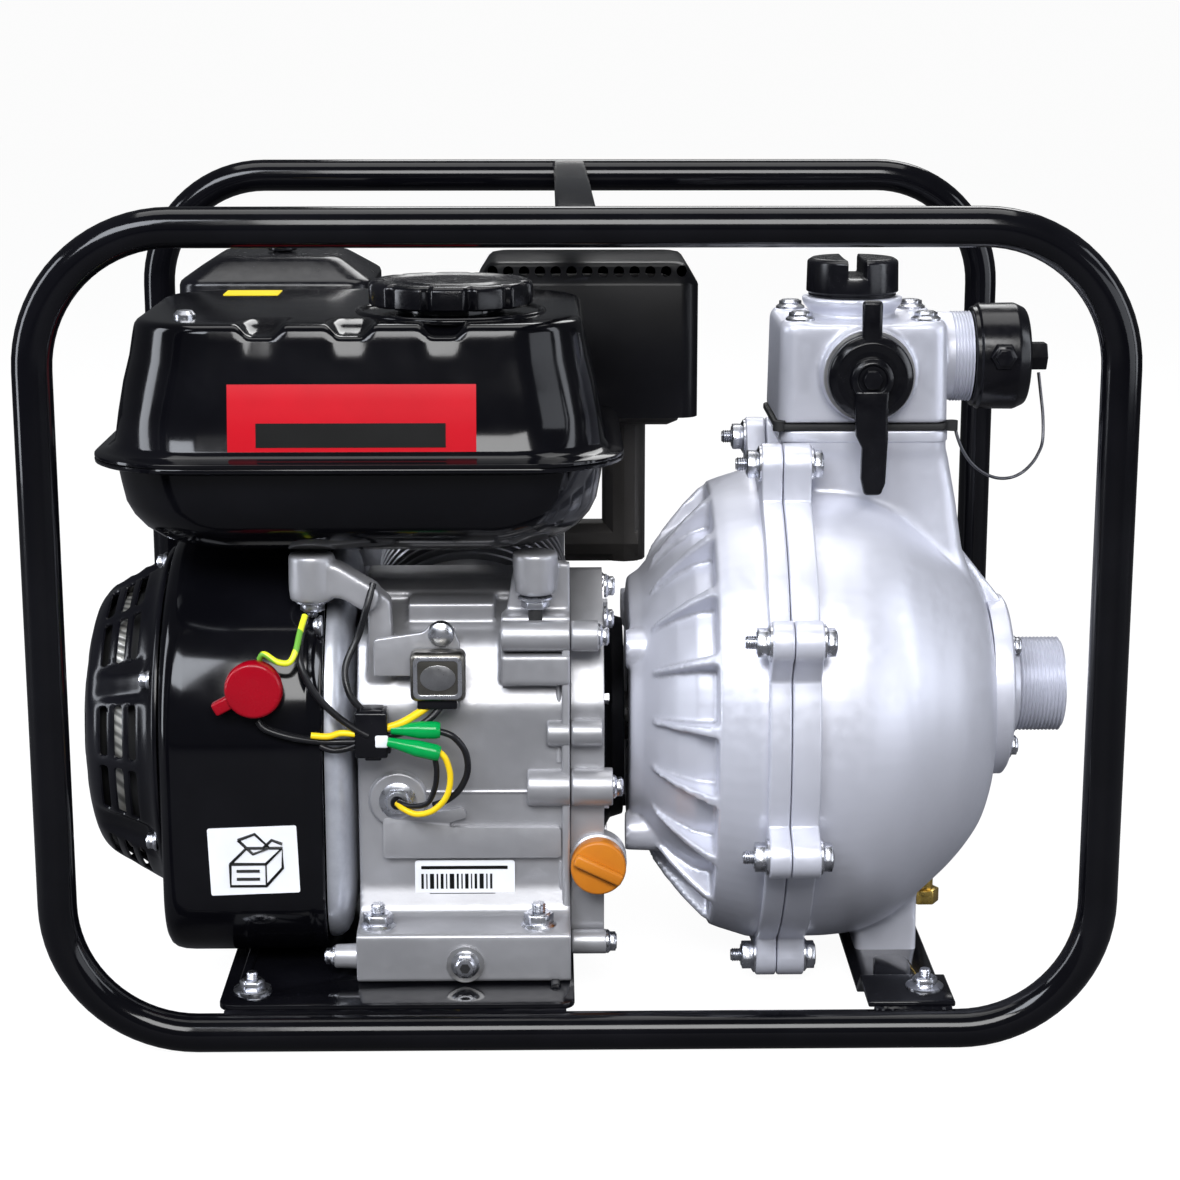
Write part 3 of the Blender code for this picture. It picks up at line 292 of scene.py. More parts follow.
LOOKS = {
    name: maker(name, *values)
    for maker, name, *values in (
        (gloss_paint, "gloss_black_paint", (0.0022, 0.0022, 0.0032), (0.004, 0.004, 0.0055), 0.09),
        (gloss_paint, "satin_black_paint", (0.003, 0.003, 0.0045), (0.006, 0.006, 0.0085), 0.2),
        (cast_metal, "grey_casting", (0.44, 0.44, 0.46), (0.31, 0.31, 0.325), 0.6, 0.38, 1.4, 0.035),
        (cast_metal, "silver_paint", (0.61, 0.62, 0.69), (0.57, 0.58, 0.65), 0.45, 0.38, 2.0, 0.016),
        (plated, "bright_sheet", (0.62, 0.64, 0.70), (0.52, 0.54, 0.60), 0.38, 0.7),
        (plated, "bare_aluminium", (0.66, 0.66, 0.67), (0.55, 0.55, 0.56), 0.32),
        (plated, "dark_steel", (0.42, 0.42, 0.43), (0.3, 0.3, 0.31), 0.3),
        (plated, "zinc_steel", (0.62, 0.63, 0.67), (0.5, 0.51, 0.55), 0.27),
        (plated, "brass", (0.78, 0.56, 0.16), (0.6, 0.4, 0.1), 0.26),
        (cast_metal, "muffler_steel", (0.05, 0.047, 0.045), (0.03, 0.027, 0.025), 0.5, 0.5, 2.0, 0.04),
        (gloss_paint, "guard_paint", (0.0015, 0.0015, 0.002), (0.003, 0.003, 0.004), 0.3, 0.1),
        (moulded, "black_plastic", (0.003, 0.003, 0.0042), (0.005, 0.005, 0.007), 0.2, 1.6, 0.008),
        (moulded, "orange_plastic", (0.56, 0.19, 0.014), (0.48, 0.15, 0.01), 0.34),
        (moulded, "red_plastic", (0.30, 0.001, 0.009), (0.26, 0.001, 0.008), 0.25),
        (moulded, "rubber", (0.012, 0.012, 0.013), (0.022, 0.022, 0.022), 0.6, 1.2, 0.05),
        (moulded, "filter_foam", (0.06, 0.055, 0.045), (0.1, 0.09, 0.07), 0.9, 2.5, 0.8),
        (moulded, "rope", (0.02, 0.02, 0.02), (0.05, 0.05, 0.05), 0.8, 1.0, 0.3),
        (moulded, "wire_sleeve", (0.0, 0.25, 0.05), (0.0, 0.32, 0.07), 0.2),
        (moulded, "wire_black", (0.006, 0.006, 0.007), (0.01, 0.01, 0.012), 0.3),
        (moulded, "wire_yellow", (0.85, 0.62, 0.01), (0.8, 0.52, 0.01), 0.35),
        (striped_wire, "wire_earth", (0.68, 0.72, 0.02), (0.12, 0.35, 0.03), 9.0),
        (gauze, "gauze"),
        (label_paper, "label_red", (0.44, 0.0, 0.008), (0.40, 0.0, 0.007)),
        (label_paper, "label_black", (0.003, 0.003, 0.003), (0.005, 0.005, 0.005)),
        (label_paper, "label_white", (0.82, 0.83, 0.86), (0.74, 0.75, 0.78)),
        (label_paper, "label_yellow", (0.85, 0.65, 0.02), (0.8, 0.6, 0.02)),
        (plated, "badge_plate", (0.2, 0.19, 0.17), (0.12, 0.115, 0.1), 0.34),
        (plated, "wire_steel", (0.13, 0.13, 0.14), (0.07, 0.07, 0.08), 0.4),
    )
}
NODE_SLOTS = {row["node"]: row["material_slot"] for row in frame["record"]["subparts"]}
for node, look in NODE_SLOTS.items():
    held = frame["nodes"][node].data.materials
    held.clear()
    held.append(LOOKS[look])


# ---------------------------------------------------------------- shape tools
def linked(name, data):
    """A new object in the scene that holds the data."""
    obj = bpy.data.objects.new(name, data)
    bpy.context.scene.collection.objects.link(obj)
    return obj


def keep(name, bm, matrix=None):
    """A mesh made in millimetres, placed by the matrix and turned into metres."""
    bmesh.ops.remove_doubles(bm, verts=bm.verts, dist=0.002)
    bmesh.ops.recalc_face_normals(bm, faces=bm.faces)
    bm.transform(Matrix.Scale(MM, 4) @ (matrix or Z_AXIS))
    mesh = bpy.data.meshes.new(name)
    bm.to_mesh(mesh)
    bm.free()
    return linked(name, mesh)


def bake(obj):
    """Replaces the object's mesh by what its modifiers make of it."""
    graph = bpy.context.evaluated_depsgraph_get()
    mesh = bpy.data.meshes.new_from_object(obj.evaluated_get(graph))
    obj.modifiers.clear()
    obj.data = mesh
    return obj


def soften(obj, width, segments=2, angle=28):
    """Rounds the edges by width millimetres."""
    bevel = obj.modifiers.new("soften", "BEVEL")
    bevel.width = width * MM
    bevel.segments = segments
    bevel.limit_method = "ANGLE"
    bevel.angle_limit = math.radians(angle)
    bevel.use_clamp_overlap = True
    return bake(obj)


def flatten(obj):
    """Joins the triangles of each flat face into one face."""
    bm = bmesh.new()
    bm.from_mesh(obj.data)
    bmesh.ops.remove_doubles(bm, verts=bm.verts, dist=0.000004)
    bmesh.ops.dissolve_limit(bm, angle_limit=math.radians(0.6), verts=bm.verts, edges=bm.edges)
    bm.to_mesh(obj.data)
    bm.free()
    return obj


def dress(obj, look, body="root", stands_for=(), smooth=34):
    """Gives a piece its material and its body, and hides the CAD nodes that it stands for."""
    obj.data.materials.clear()
    obj.data.materials.append(LOOKS[look])
    if obj.type == "MESH":
        obj.data.shade_smooth()
        obj.data.set_sharp_from_angle(angle=math.radians(smooth))
    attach(obj, body)
    if stands_for:
        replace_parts(obj, *stands_for)
    return obj


def stand_in(obj, look, node, smooth=34):
    """Dresses a piece that stands for one CAD node and rides on that node's body."""
    return dress(obj, look, frame["nodes"][node]["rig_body"], (node,), smooth)


def block(name, xs, ys, zs, matrix=None, taper=(1.0, 1.0)):
    """A box between pairs of coordinates, its top scaled by taper."""
    bm = bmesh.new()
    bmesh.ops.create_cube(bm, size=1)
    center = Vector((sum(xs) / 2, sum(ys) / 2, sum(zs) / 2))
    for vert in bm.verts:
        if vert.co.z > 0:
            vert.co.x *= taper[0]
            vert.co.y *= taper[1]
        vert.co = Vector(
            (vert.co.x * (xs[1] - xs[0]), vert.co.y * (ys[1] - ys[0]), vert.co.z * (zs[1] - zs[0]))
        )
        vert.co += center
    return keep(name, bm, matrix)


def rounded(corners, steps=6, closed=True):
    """A line through (across, up, radius) corners, each replaced by an arc of that radius."""
    line, count = [], len(corners)
    for index, (across, up, radius) in enumerate(corners):
        here = Vector((across, up))
        if not radius or (not closed and index in (0, count - 1)):
            line.append((across, up))
            continue
        before = (Vector(corners[index - 1][:2]) - here).normalized()
        after = (Vector(corners[(index + 1) % count][:2]) - here).normalized()
        half = before.angle(after) / 2
        center = here + (before + after).normalized() * radius / math.sin(half)
        first = here + before * radius / math.tan(half) - center
        sweep = first.angle_signed(here + after * radius / math.tan(half) - center)
        line += [tuple(center + Matrix.Rotation(-sweep * i / steps, 2) @ first) for i in range(steps + 1)]
    return line


def rectangle(xs, ys, radius, steps=8, along=1):
    """A rounded rectangle, with each straight side cut into the given number of stretches."""
    corners = [(xs[0], ys[0]), (xs[1], ys[0]), (xs[1], ys[1]), (xs[0], ys[1])]
    arcs = rounded([(*corner, radius) for corner in corners], steps)
    size, line = steps + 1, []
    for side in range(4):
        line += arcs[side * size : (side + 1) * size]
        start = Vector(line[-1])
        end = Vector(arcs[(side + 1) * size % len(arcs)])
        line += [tuple(start.lerp(end, i / along)) for i in range(1, along)]
    return line


def circle(radius, center=(0, 0), count=48):
    turns = [2 * math.pi * i / count for i in range(count)]
    return [(center[0] + radius * math.cos(a), center[1] + radius * math.sin(a)) for a in turns]


def grown(pair, amount):
    return pair[0] - amount, pair[1] + amount


def stacked(xs, ys, levels, steps, along):
    """Rounded rectangles one above another, each (height, growth, radius)."""
    rings = []
    for z, growth, radius in levels:
        outline = rectangle(grown(xs, growth), grown(ys, growth), radius, steps, along)
        rings.append([(x, y, z) for x, y in outline])
    return rings


def loft(name, rings, caps=(True, True), matrix=None):
    """Rings of the same number of (x, y, z) points joined in order."""
    bm = bmesh.new()
    made = [[bm.verts.new(point) for point in ring] for ring in rings]
    for lower, upper in zip(made, made[1:]):
        for i in range(len(lower)):
            after = (i + 1) % len(lower)
            bm.faces.new((lower[i], lower[after], upper[after], upper[i]))
    if caps[0]:
        bm.faces.new(made[0])
    if caps[1]:
        bm.faces.new(made[-1])
    return keep(name, bm, matrix)


def turned(name, profile, matrix, steps=64):
    """A line of (radius, height) points turned about local Z.

    A line that doesn't start and end on the axis is closed into a ring.
    """
    bm = bmesh.new()
    line = [bm.verts.new((radius, 0, height)) for radius, height in profile]
    open_line = profile[0][0] == 0 and profile[-1][0] == 0
    pairs = zip(line, line[1:] if open_line else line[1:] + line[:1])
    edges = [bm.edges.new(pair) for pair in pairs]
    bmesh.ops.spin(bm, geom=line + edges, axis=(0, 0, 1), cent=(0, 0, 0), angle=2 * math.pi, steps=steps)
    return keep(name, bm, matrix)


def lathe(name, corners, matrix, steps=48, arc=4):
    """A solid of (radius, height, rounding) corners from its foot up, turned about local Z."""
    return turned(name, rounded(corners[::-1], arc, False), matrix, steps)


def drill(name, place, axis, radius, depth):
    """A plain round cutter along the axis."""
    bm = bmesh.new()
    bmesh.ops.create_cone(bm, cap_ends=True, segments=20, radius1=radius, radius2=radius, depth=depth)
    return keep(name, bm, Matrix.Translation(place) @ axis)


def prism(name, outlines, low, high, axis=X_AXIS, edge=0.8, segments=2):
    """Flat outlines, the first cut by the others, from low to high along the axis, with rounded edges."""
    curve = bpy.data.curves.new(name, "CURVE")
    curve.dimensions = "2D"
    curve.fill_mode = "BOTH"
    curve.extrude = (high - low) / 2 * MM
    for outline in outlines:
        spline = curve.splines.new("POLY")
        spline.points.add(len(outline) - 1)
        spline.use_cyclic_u = True
        for point, (across, up) in zip(spline.points, outline):
            point.co = (across * MM, up * MM, 0, 1)
    helper = linked(name, curve)
    bpy.context.view_layer.update()
    mesh = bpy.data.meshes.new_from_object(helper.evaluated_get(bpy.context.evaluated_depsgraph_get()))
    bpy.data.objects.remove(helper)
    middle_point = axis @ Vector((0, 0, (low + high) / 2))
    mesh.transform(Matrix.Translation(middle_point * MM) @ axis.to_3x3().to_4x4())
    obj = flatten(linked(name, mesh))
    return soften(obj, edge, segments) if edge else obj


def smooth_line(points, per_span=6, closed=False):
    """Points on a Catmull-Rom curve through the given ones."""
    points = [Vector(p) for p in points]
    count = len(points)
    line = []
    for i in range(count if closed else count - 1):
        if closed:
            a, b, c, d = (points[(i + k) % count] for k in (-1, 0, 1, 2))
        else:
            a, b, c, d = (points[min(max(i + k, 0), count - 1)] for k in (-1, 0, 1, 2))
        for step in range(per_span):
            t = step / per_span
            line.append(
                0.5 * (
                    2 * b + (c - a) * t + (2 * a - 5 * b + 4 * c - d) * t * t + (3 * b - a - 3 * c + d) * t**3
                )
            )
    return line if closed else line + [points[-1]]


def tube(name, points, radius, sides=16, closed=False):
    """A round tube along a line of points, swept with a steady frame."""
    points = [Vector(p) for p in points]
    count = len(points)
    bm, rings, normal = bmesh.new(), [], None
    for i, point in enumerate(points):
        before = points[i - 1] if closed or i else point
        after = points[(i + 1) % count] if closed or i < count - 1 else point
        tangent = (after - before).normalized()
        normal = normal or tangent.orthogonal()
        normal = (normal - tangent * normal.dot(tangent)).normalized()
        side = tangent.cross(normal)
        turns = (2 * math.pi * k / sides for k in range(sides))
        rings.append(
            [bm.verts.new(point + radius * (normal * math.cos(a) + side * math.sin(a))) for a in turns]
        )
    for i in range(count if closed else count - 1):
        lower, upper = rings[i], rings[(i + 1) % count]
        for k in range(sides):
            after = (k + 1) % sides
            bm.faces.new((lower[k], lower[after], upper[after], upper[k]))
    if not closed:
        bm.faces.new(rings[0])
        bm.faces.new(rings[-1])
    return keep(name, bm)


def joined(name, pieces):
    """Several meshes as one object."""
    bm = bmesh.new()
    for piece in pieces:
        bm.from_mesh(piece.data)
        bpy.data.objects.remove(piece)
    mesh = bpy.data.meshes.new(name)
    bm.to_mesh(mesh)
    bm.free()
    return linked(name, mesh)


def cast(name, pieces, voxel=1.5, rounds=5):
    """Closed pieces grown together into one casting, with soft fillets where they meet."""
    obj = joined(name, pieces)
    grid = obj.modifiers.new("grow_together", "REMESH")
    grid.mode = "VOXEL"
    grid.voxel_size = voxel * MM
    even = obj.modifiers.new("even", "SMOOTH")
    even.factor = 0.5
    even.iterations = rounds
    return bake(obj)


def carve(obj, *cutters):
    """Takes the closed cutters out of the object."""
    for cutter in cutters:
        step = obj.modifiers.new(cutter.name, "BOOLEAN")
        step.operation = "DIFFERENCE"
        step.solver = "EXACT"
        step.object = cutter
    bake(obj)
    for cutter in cutters:
        bpy.data.objects.remove(cutter)
    return obj


def refined(node, look, width=0.8):
    """A CAD node's own shape with its flat faces whole and its edges rounded."""
    obj = linked(node + "_fine", frame["nodes"][node].data.copy())
    return stand_in(soften(flatten(obj), width), look, node)


def aim(place, direction):
    """A frame at a place whose Z points along the direction."""
    turn = Vector(direction).to_track_quat("Z", "Y").to_matrix().to_4x4()
    return Matrix.Translation(Vector(place)) @ turn


def hexagon(radius):
    return circle(radius, count=6)


def hex_head(name, place, direction, size=5.6, height=5.0, washer=8.4, stud=0.0):
    """A flanged hexagon on its seat, facing the direction, with a rounded crown or a stud through it."""
    there = aim(place, direction)
    flange = turned(
        name + "_flange", [(0, 0), (washer, 0), (washer, 0.9), (size * 1.08, 2.0), (0, 2.0)], there, 32
    )
    nut = prism(name + "_hex", [hexagon(size * 1.12)], 1.2, height, Z_AXIS, 0.0)
    nut.data.transform(Matrix.Scale(MM, 4) @ there @ Matrix.Scale(1 / MM, 4))
    crown = turned(
        name + "_crown",
        [(0, height - 0.5), (size * 0.98, height - 0.5), (size * 0.8, height + 0.5), (0, height + 0.5)],
        there, 32,
    )
    pieces = [flange, soften(nut, 0.35, 1), crown]
    if stud:
        threads, radius = [], size * 0.52
        low, high = height, height + stud
        count = max(2, int(stud / 1.0))
        for i in range(count):
            at = low + (high - low) * i / count
            threads += [(radius, at), (radius * 0.86, at + 0.5 * (high - low) / count)]
        threads += [(radius * 0.8, high)]
        pieces.append(turned(name + "_stud", [(0, low - 1), *threads, (0, high)], there, 24))
    return dress(joined(name, pieces), "zinc_steel")


# ---------------------------------------------------------------- camera, light and floor
def pale_floor():
    """A white sweep that takes a soft shadow and throws back only part of the light."""
    nodes = Nodes("pale_floor")
    nodes.set(Base_Color=(0.08, 0.08, 0.085), Roughness=0.8)
    lit = nodes.add("ShaderNodeBsdfDiffuse")
    lit.inputs["Color"].default_value = (0.85, 0.86, 0.88, 1)
    glow = nodes.add("ShaderNodeEmission")
    glow.inputs["Color"].default_value = (1, 1, 1, 1)
    glow.inputs["Strength"].default_value = 1.08
    seen = nodes.add("ShaderNodeMixShader")
    seen.inputs["Fac"].default_value = 0.89
    nodes.join(lit.outputs["BSDF"], seen.inputs[1])
    nodes.join(glow.outputs["Emission"], seen.inputs[2])
    choose = nodes.add("ShaderNodeMixShader")
    nodes.join(nodes.add("ShaderNodeLightPath").outputs["Is Camera Ray"], choose.inputs["Fac"])
    nodes.join(nodes.shader.outputs["BSDF"], choose.inputs[1])
    nodes.join(seen.outputs["Shader"], choose.inputs[2])
    nodes.join(choose.outputs["Shader"], nodes.tree.nodes["Material Output"].inputs["Surface"])
    return nodes.made


def camera_and_light():
    camera = linked("camera", bpy.data.cameras.new("camera"))
    camera.location = CAMERA_PLACE
    camera.rotation_euler = (math.radians(90 - CAMERA_DROP), 0, math.radians(CAMERA_TURN))
    camera.data.lens = LENS
    camera.data.sensor_width = 36.0
    bpy.context.scene.camera = camera

    scene = bpy.context.scene
    scene.view_settings.view_transform = "Standard"
    world = bpy.data.worlds.new("studio")
    world.use_nodes = True
    tree = world.node_tree
    seen = tree.nodes.new("ShaderNodeBackground")
    seen.inputs["Color"].default_value = (WORLD_SEEN, WORLD_SEEN, WORLD_SEEN, 1)
    glow = tree.nodes["Background"]
    glow.inputs["Color"].default_value = (0.9, 0.94, 1.0, 1)
    glow.inputs["Strength"].default_value = WORLD_GLOW
    choose = tree.nodes.new("ShaderNodeMixShader")
    ray = tree.nodes.new("ShaderNodeLightPath")
    tree.links.new(ray.outputs["Is Camera Ray"], choose.inputs["Fac"])
    tree.links.new(glow.outputs["Background"], choose.inputs[1])
    tree.links.new(seen.outputs["Background"], choose.inputs[2])
    tree.links.new(choose.outputs["Shader"], tree.nodes["World Output"].inputs["Surface"])
    scene.world = world

    def softbox(name, place, target, size, power, color=(1, 1, 1)):
        light = bpy.data.lights.new(name, "AREA")
        light.shape = "RECTANGLE"
        light.size, light.size_y = size
        light.energy = power
        light.color = color
        obj = linked(name, light)
        obj.location = place
        obj.rotation_euler = (Vector(target) - Vector(place)).to_track_quat("-Z", "Y").to_euler()

    cool = (0.88, 0.92, 1.0)
    softbox("key", (-0.9, -1.5, 1.5), (0, 0, 0.15), (0.9, 0.7), 33, cool)
    softbox("front_fill", (0.1, -1.75, 1.35), (0.05, 0, 0.15), (0.9, 0.8), 34)
    softbox("side_strip", (1.5, -0.35, 0.7), (0.1, 0, 0.2), (0.35, 1.2), 7, cool)
    softbox("right_front", (1.45, -1.1, 0.5), (0.05, 0, 0.2), (1.0, 0.8), 7, cool)
    softbox("left_strip", (-1.5, -0.3, 0.6), (-0.1, 0, 0.2), (0.35, 1.2), 14, cool)
    softbox("top", (0, 0.1, 1.7), (0, 0, 0.2), (1.4, 0.9), 13)
    softbox("back", (0.3, 1.6, 1.5), (0, 0, 0.2), (1.2, 0.7), 12)

    bm = bmesh.new()
    bmesh.ops.create_grid(bm, x_segments=2, y_segments=2, size=9000)
    floor = keep("floor", bm)
    floor.data.materials.append(pale_floor())


# ---------------------------------------------------------------- tether, on the same route as the CAD
def tether():
    route = [(231, -50, 299.6), (232.2, -51, 290), (233.3, -54, 278), (232.8, -58, 266.5), (230, -62, 260.5)]
    route += [(226, -66, 256), (220.5, -70, 252.3), (214, -74, 250.6), (206.5, -79, 251.5), (199, -83.5, 255)]
    route += [(192.5, -86.5, 260.5), (188, -88, 267), (185.5, -87.5, 273), (184.2, -86.5, 278)]
    line = smooth_line(route, 6)
    wire = stand_in(tube("outlet_cap_tether", line, 0.8, 12), "wire_steel", "cap_tether")


# ---------------------------------------------------------------- frame
def frame_tubes():
    for node, y in (("front_frame_loop", -LOOP_Y), ("rear_frame_loop", LOOP_Y)):
        xs = (loop_low.x + TUBE, loop_high.x - TUBE)
        zs = (loop_low.z + TUBE, loop_high.z - TUBE)
        outline = rectangle(xs, zs, CORNER, 18, 8)
        loop = tube(node + "_tube", [(x, y, z) for x, z in outline], TUBE, 40, True)
        stand_in(loop, "gloss_black_paint", node)
        for end, spots in (
            ("strap", [(-10, 0), (8, 0)]), ("engine", [(-166, 1), (-6, 1)]), ("pump", [(139, 1), (175, 1)])
        ):
            seat = loop_high.z - TUBE * 0.35 if end == "strap" else loop_low.z + 2 * TUBE + 0.6
            inner = -1 if y > 0 else 1
            lift = 0.0 if end == "strap" else -0.8
            at = y + inner * (8.0 if end == "strap" else 1.5)
            bead = [
                (
                    spots[0][0] + (spots[1][0] - spots[0][0]) * i / 24, at + 0.5 * math.sin(i * 2.2),
                    seat + lift,
                )
                for i in range(25)
            ]
            dress(tube(f"{end}_weld_{'rear' if y > 0 else 'front'}", bead, 1.6, 8), "gloss_black_paint")

    strap_low, strap_high = span("top_cross_strap")
    strap = block(
        "cross_strap_bar", (strap_low.x, strap_high.x), (strap_low.y, strap_high.y),
        (strap_low.z, strap_high.z),
    )
    stand_in(soften(strap, 1.6, 3), "gloss_black_paint", "top_cross_strap")


def cross_plates():
    low, high = span("engine_cross_plate")
    outline = rectangle((low.x, high.x), (low.y, high.y), 8, 6)
    holes = [circle(4.5, (x, y), 20) for x in BASE_BOLT_X for y in BASE_BOLT_Y]
    plate = prism("engine_mount_plate", [outline, *holes], low.z, high.z, Z_AXIS, 0.8)
    stand_in(plate, "gloss_black_paint", "engine_cross_plate")
    for index, x in enumerate((low.x + 9, high.x - 9)):
        rib = block(
            f"engine_plate_rib_{index}", (x - 3, x + 3), (-170, 170), (high.z - 1, high.z + 1.8), None,
            (0.6, 0.98),
        )
        dress(soften(rib, 1.0, 3), "gloss_black_paint")

    refined("pump_cross_plate", "gloss_black_paint", 0.9)
    x_low, x_high = span("pump_cross_plate")[0].x, span("pump_cross_plate")[1].x
    center = (x_low + x_high) / 2
    for index, side in enumerate((-1, 1)):
        outline = rounded(
            [
                (center - 13, side * 146, 4), (center + 13, side * 146, 4), (center + 8, side * 104, 4),
                (center - 8, side * 104, 4),
            ],
            5,
        )
        boss = prism(f"pump_plate_emboss_{index}", [outline], 10.0, 13.6, Z_AXIS, 1.2, 3)
        dress(boss, "gloss_black_paint")
    for index, (x, y, z) in enumerate(
        ((-155, -167, PLATE_TOP), (165, -168, PLATE_TOP), (-155, 160, PLATE_TOP), (165, 165, PLATE_TOP))
    ):
        hex_head(f"frame_bolt_{index + 1}", (x, y, z), UP, 5.4, 5.0, 9.0, 4.0)


# ---------------------------------------------------------------- tank
def scoops(x, y, depth):
    """How far three pressed scoops on the front top edge sink a point."""
    reach, fade, sunk = 12.0, 7.5, 0.0
    if y > TANK_Y[0] + 30:
        return sunk
    for center in (-145.4, -104.2, -61.6):
        near = min(max((reach - abs(x - center)) / fade, 0.0), 1.0)
        sunk += depth * near * near * (3 - 2 * near)
    return sunk


def tank_ring(height, growth, radius, depth=0.0):
    ring = rectangle(grown(TANK_X, growth), grown(TANK_Y, growth), radius, 12, 110)
    return [(x, y, height - scoops(x, y, depth)) for x, y in ring]


def tank_front(z):
    """The Y of the upper shell's front face at a height above the seam."""
    steps = ((7.0, -0.8), (20.0, -2.6), (34.0, -5.0), (46.0, -8.0))
    rise = z - TANK_SEAM
    for (low, start), (high, end) in zip(steps, steps[1:]):
        if rise <= high:
            break
    return TANK_Y[0] - start - (end - start) * (rise - low) / (high - low)


def tank():
    seam, top = TANK_SEAM, TANK_TOP
    levels = [
        (seam, TANK_LIP, 46),
        (seam + 0.6, TANK_LIP + 0.3, 46),
        (seam + 1.7, TANK_LIP + 0.2, 46),
        (seam + 2.3, TANK_LIP - 0.8, 45),
        (seam + 2.8, TANK_LIP - 3.5, 44),
        (seam + 4.0, 1.5, 43),
        (seam + 7.0, -0.8, 42),
        (seam + 20.0, -2.6, 42),
        (seam + 34.0, -5.0, 42),
        (seam + 46.0, -8.0, 41),
        (top - 8.0, -9.6, 40),
        (top - 4.2, -10.4, 39, 2.2),
        (top - 2.4, -11.0, 38, 3.6),
        (top - 1.1, -12.0, 37, 4.5),
        (top - 0.3, -13.4, 36, 5.0),
        (top, -15.2, 35, 5.2),
        (top + 0.1, -18.5, 34, 5.0),
        (top + 0.1, -23.0, 32, 4.0),
        (top + 0.1, -28.0, 29, 2.4),
        (top + 0.1, -34.0, 25, 0.9),
        (top + 0.1, -42.0, 20),
        (top + 0.1, -62.0, 12),
    ]
    upper = loft("tank_upper_shell", [tank_ring(*level) for level in levels], (False, True))
    plate_hole = turned(
        "filler_neck",
        rounded([(21, top - 14, 0), (25.5, top - 14, 0), (25.5, top + 3.2, 1), (21, top + 3.2, 1)], 4),
        upright(CAP_X, CAP_Y), 48,
    )
    stand_in(joined("tank_upper", [upper, plate_hole]), "gloss_black_paint", "fuel_tank_upper", 40)
    ring = [(x, y, top - 0.6) for x, y in circle(44, (CAP_X, CAP_Y), 72)]
    dress(tube("filler_embossed_ring", ring, 2.0, 12, True), "gloss_black_paint")

    low = seam - 0.3
    bottom = span("fuel_tank_lower")[0].z
    levels = [
        (low, TANK_LIP, 46),
        (low - 0.6, TANK_LIP + 0.3, 46),
        (low - 1.8, TANK_LIP + 0.1, 46),
        (low - 2.4, TANK_LIP - 1.2, 45),
        (low - 2.8, 2.0, 43),
        (low - 4.5, -1.5, 42),
        (low - 12.0, -2.6, 42),
        (low - 22.0, -4.4, 42),
        (low - 29.0, -7.5, 42),
        (low - 35.0, -12.0, 41),
        (low - 40.0, -18.0, 39),
        (low - 43.5, -25.0, 36),
        (bottom + 1.6, -33.0, 33),
        (bottom + 0.3, -42.0, 28),
        (bottom, -52.0, 20),
    ]
    lower = loft("tank_lower", [tank_ring(*level) for level in levels], (False, True))
    stand_in(lower, "gloss_black_paint", "fuel_tank_lower", 40)
    dress(
        turned(
            "tank_screw", [(0, 0), (5.2, 0), (5.2, 1.4), (3.6, 3.2), (0, 3.6)],
            Matrix.Translation((-184, -112, top)), 24,
        ),
        "zinc_steel",
    )


def fuel_cap():
    low, high = span("fuel_cap")
    center = upright(CAP_X, CAP_Y)
    outer, lobes, count = (high.x - low.x) / 2, 12, 288
    rings = []
    base = 338.4
    for height, inset in (
        (base, 1.2), (base + 1.0, 0.2), (base + 9.0, 0.0), (base + 10.6, 0.7), (base + 11.5, 2.4)
    ):
        ring = []
        for i in range(count):
            turn = 2 * math.pi * i / count
            phase = (lobes * turn / (2 * math.pi)) % 1.0
            groove = max(0.0, 1.0 - abs(phase - 0.5) / 0.16)
            radius = outer - inset - 2.4 * groove * groove * (3 - 2 * groove)
            ring.append((radius * math.cos(turn), radius * math.sin(turn), height))
        rings.append(ring)
    for height, radius in (
        (base + 11.6, 33), (base + 10.8, 31.5), (base + 10.7, 24.5), (base + 11.4, 23.6), (base + 11.5, 20)
    ):
        rings.append([(x, y, height) for x, y in circle(radius, count=count)])
    knob = loft("fuel_cap_knob", rings, (True, True), center)
    plug = turned("fuel_cap_plug", [(0, 327), (18, 327), (18, 339), (0, 339)], center, 40)
    stand_in(joined("fuel_cap_moulding", [knob, plug]), "black_plastic", "fuel_cap", 40)


# ---------------------------------------------------------------- fan housing, recoil starter
def fan_outline(inset):
    """A round drum that squares off to its base."""
    radius = FAN_RADIUS - inset
    left, right, bottom = CRANK_Y - radius, CRANK_Y + radius, CRANK_Z - 100 + inset
    top = [
        (CRANK_Y + radius * math.cos(a), CRANK_Z + radius * math.sin(a))
        for a in (math.pi * i / 40 for i in range(41))
    ]
    corner = max(36 - inset, 3)
    foot = rounded(
        [(left, CRANK_Z, 0), (left, bottom, corner), (right, bottom, corner), (right, CRANK_Z, 0)], 14
    )
    return top + foot[1:-1]


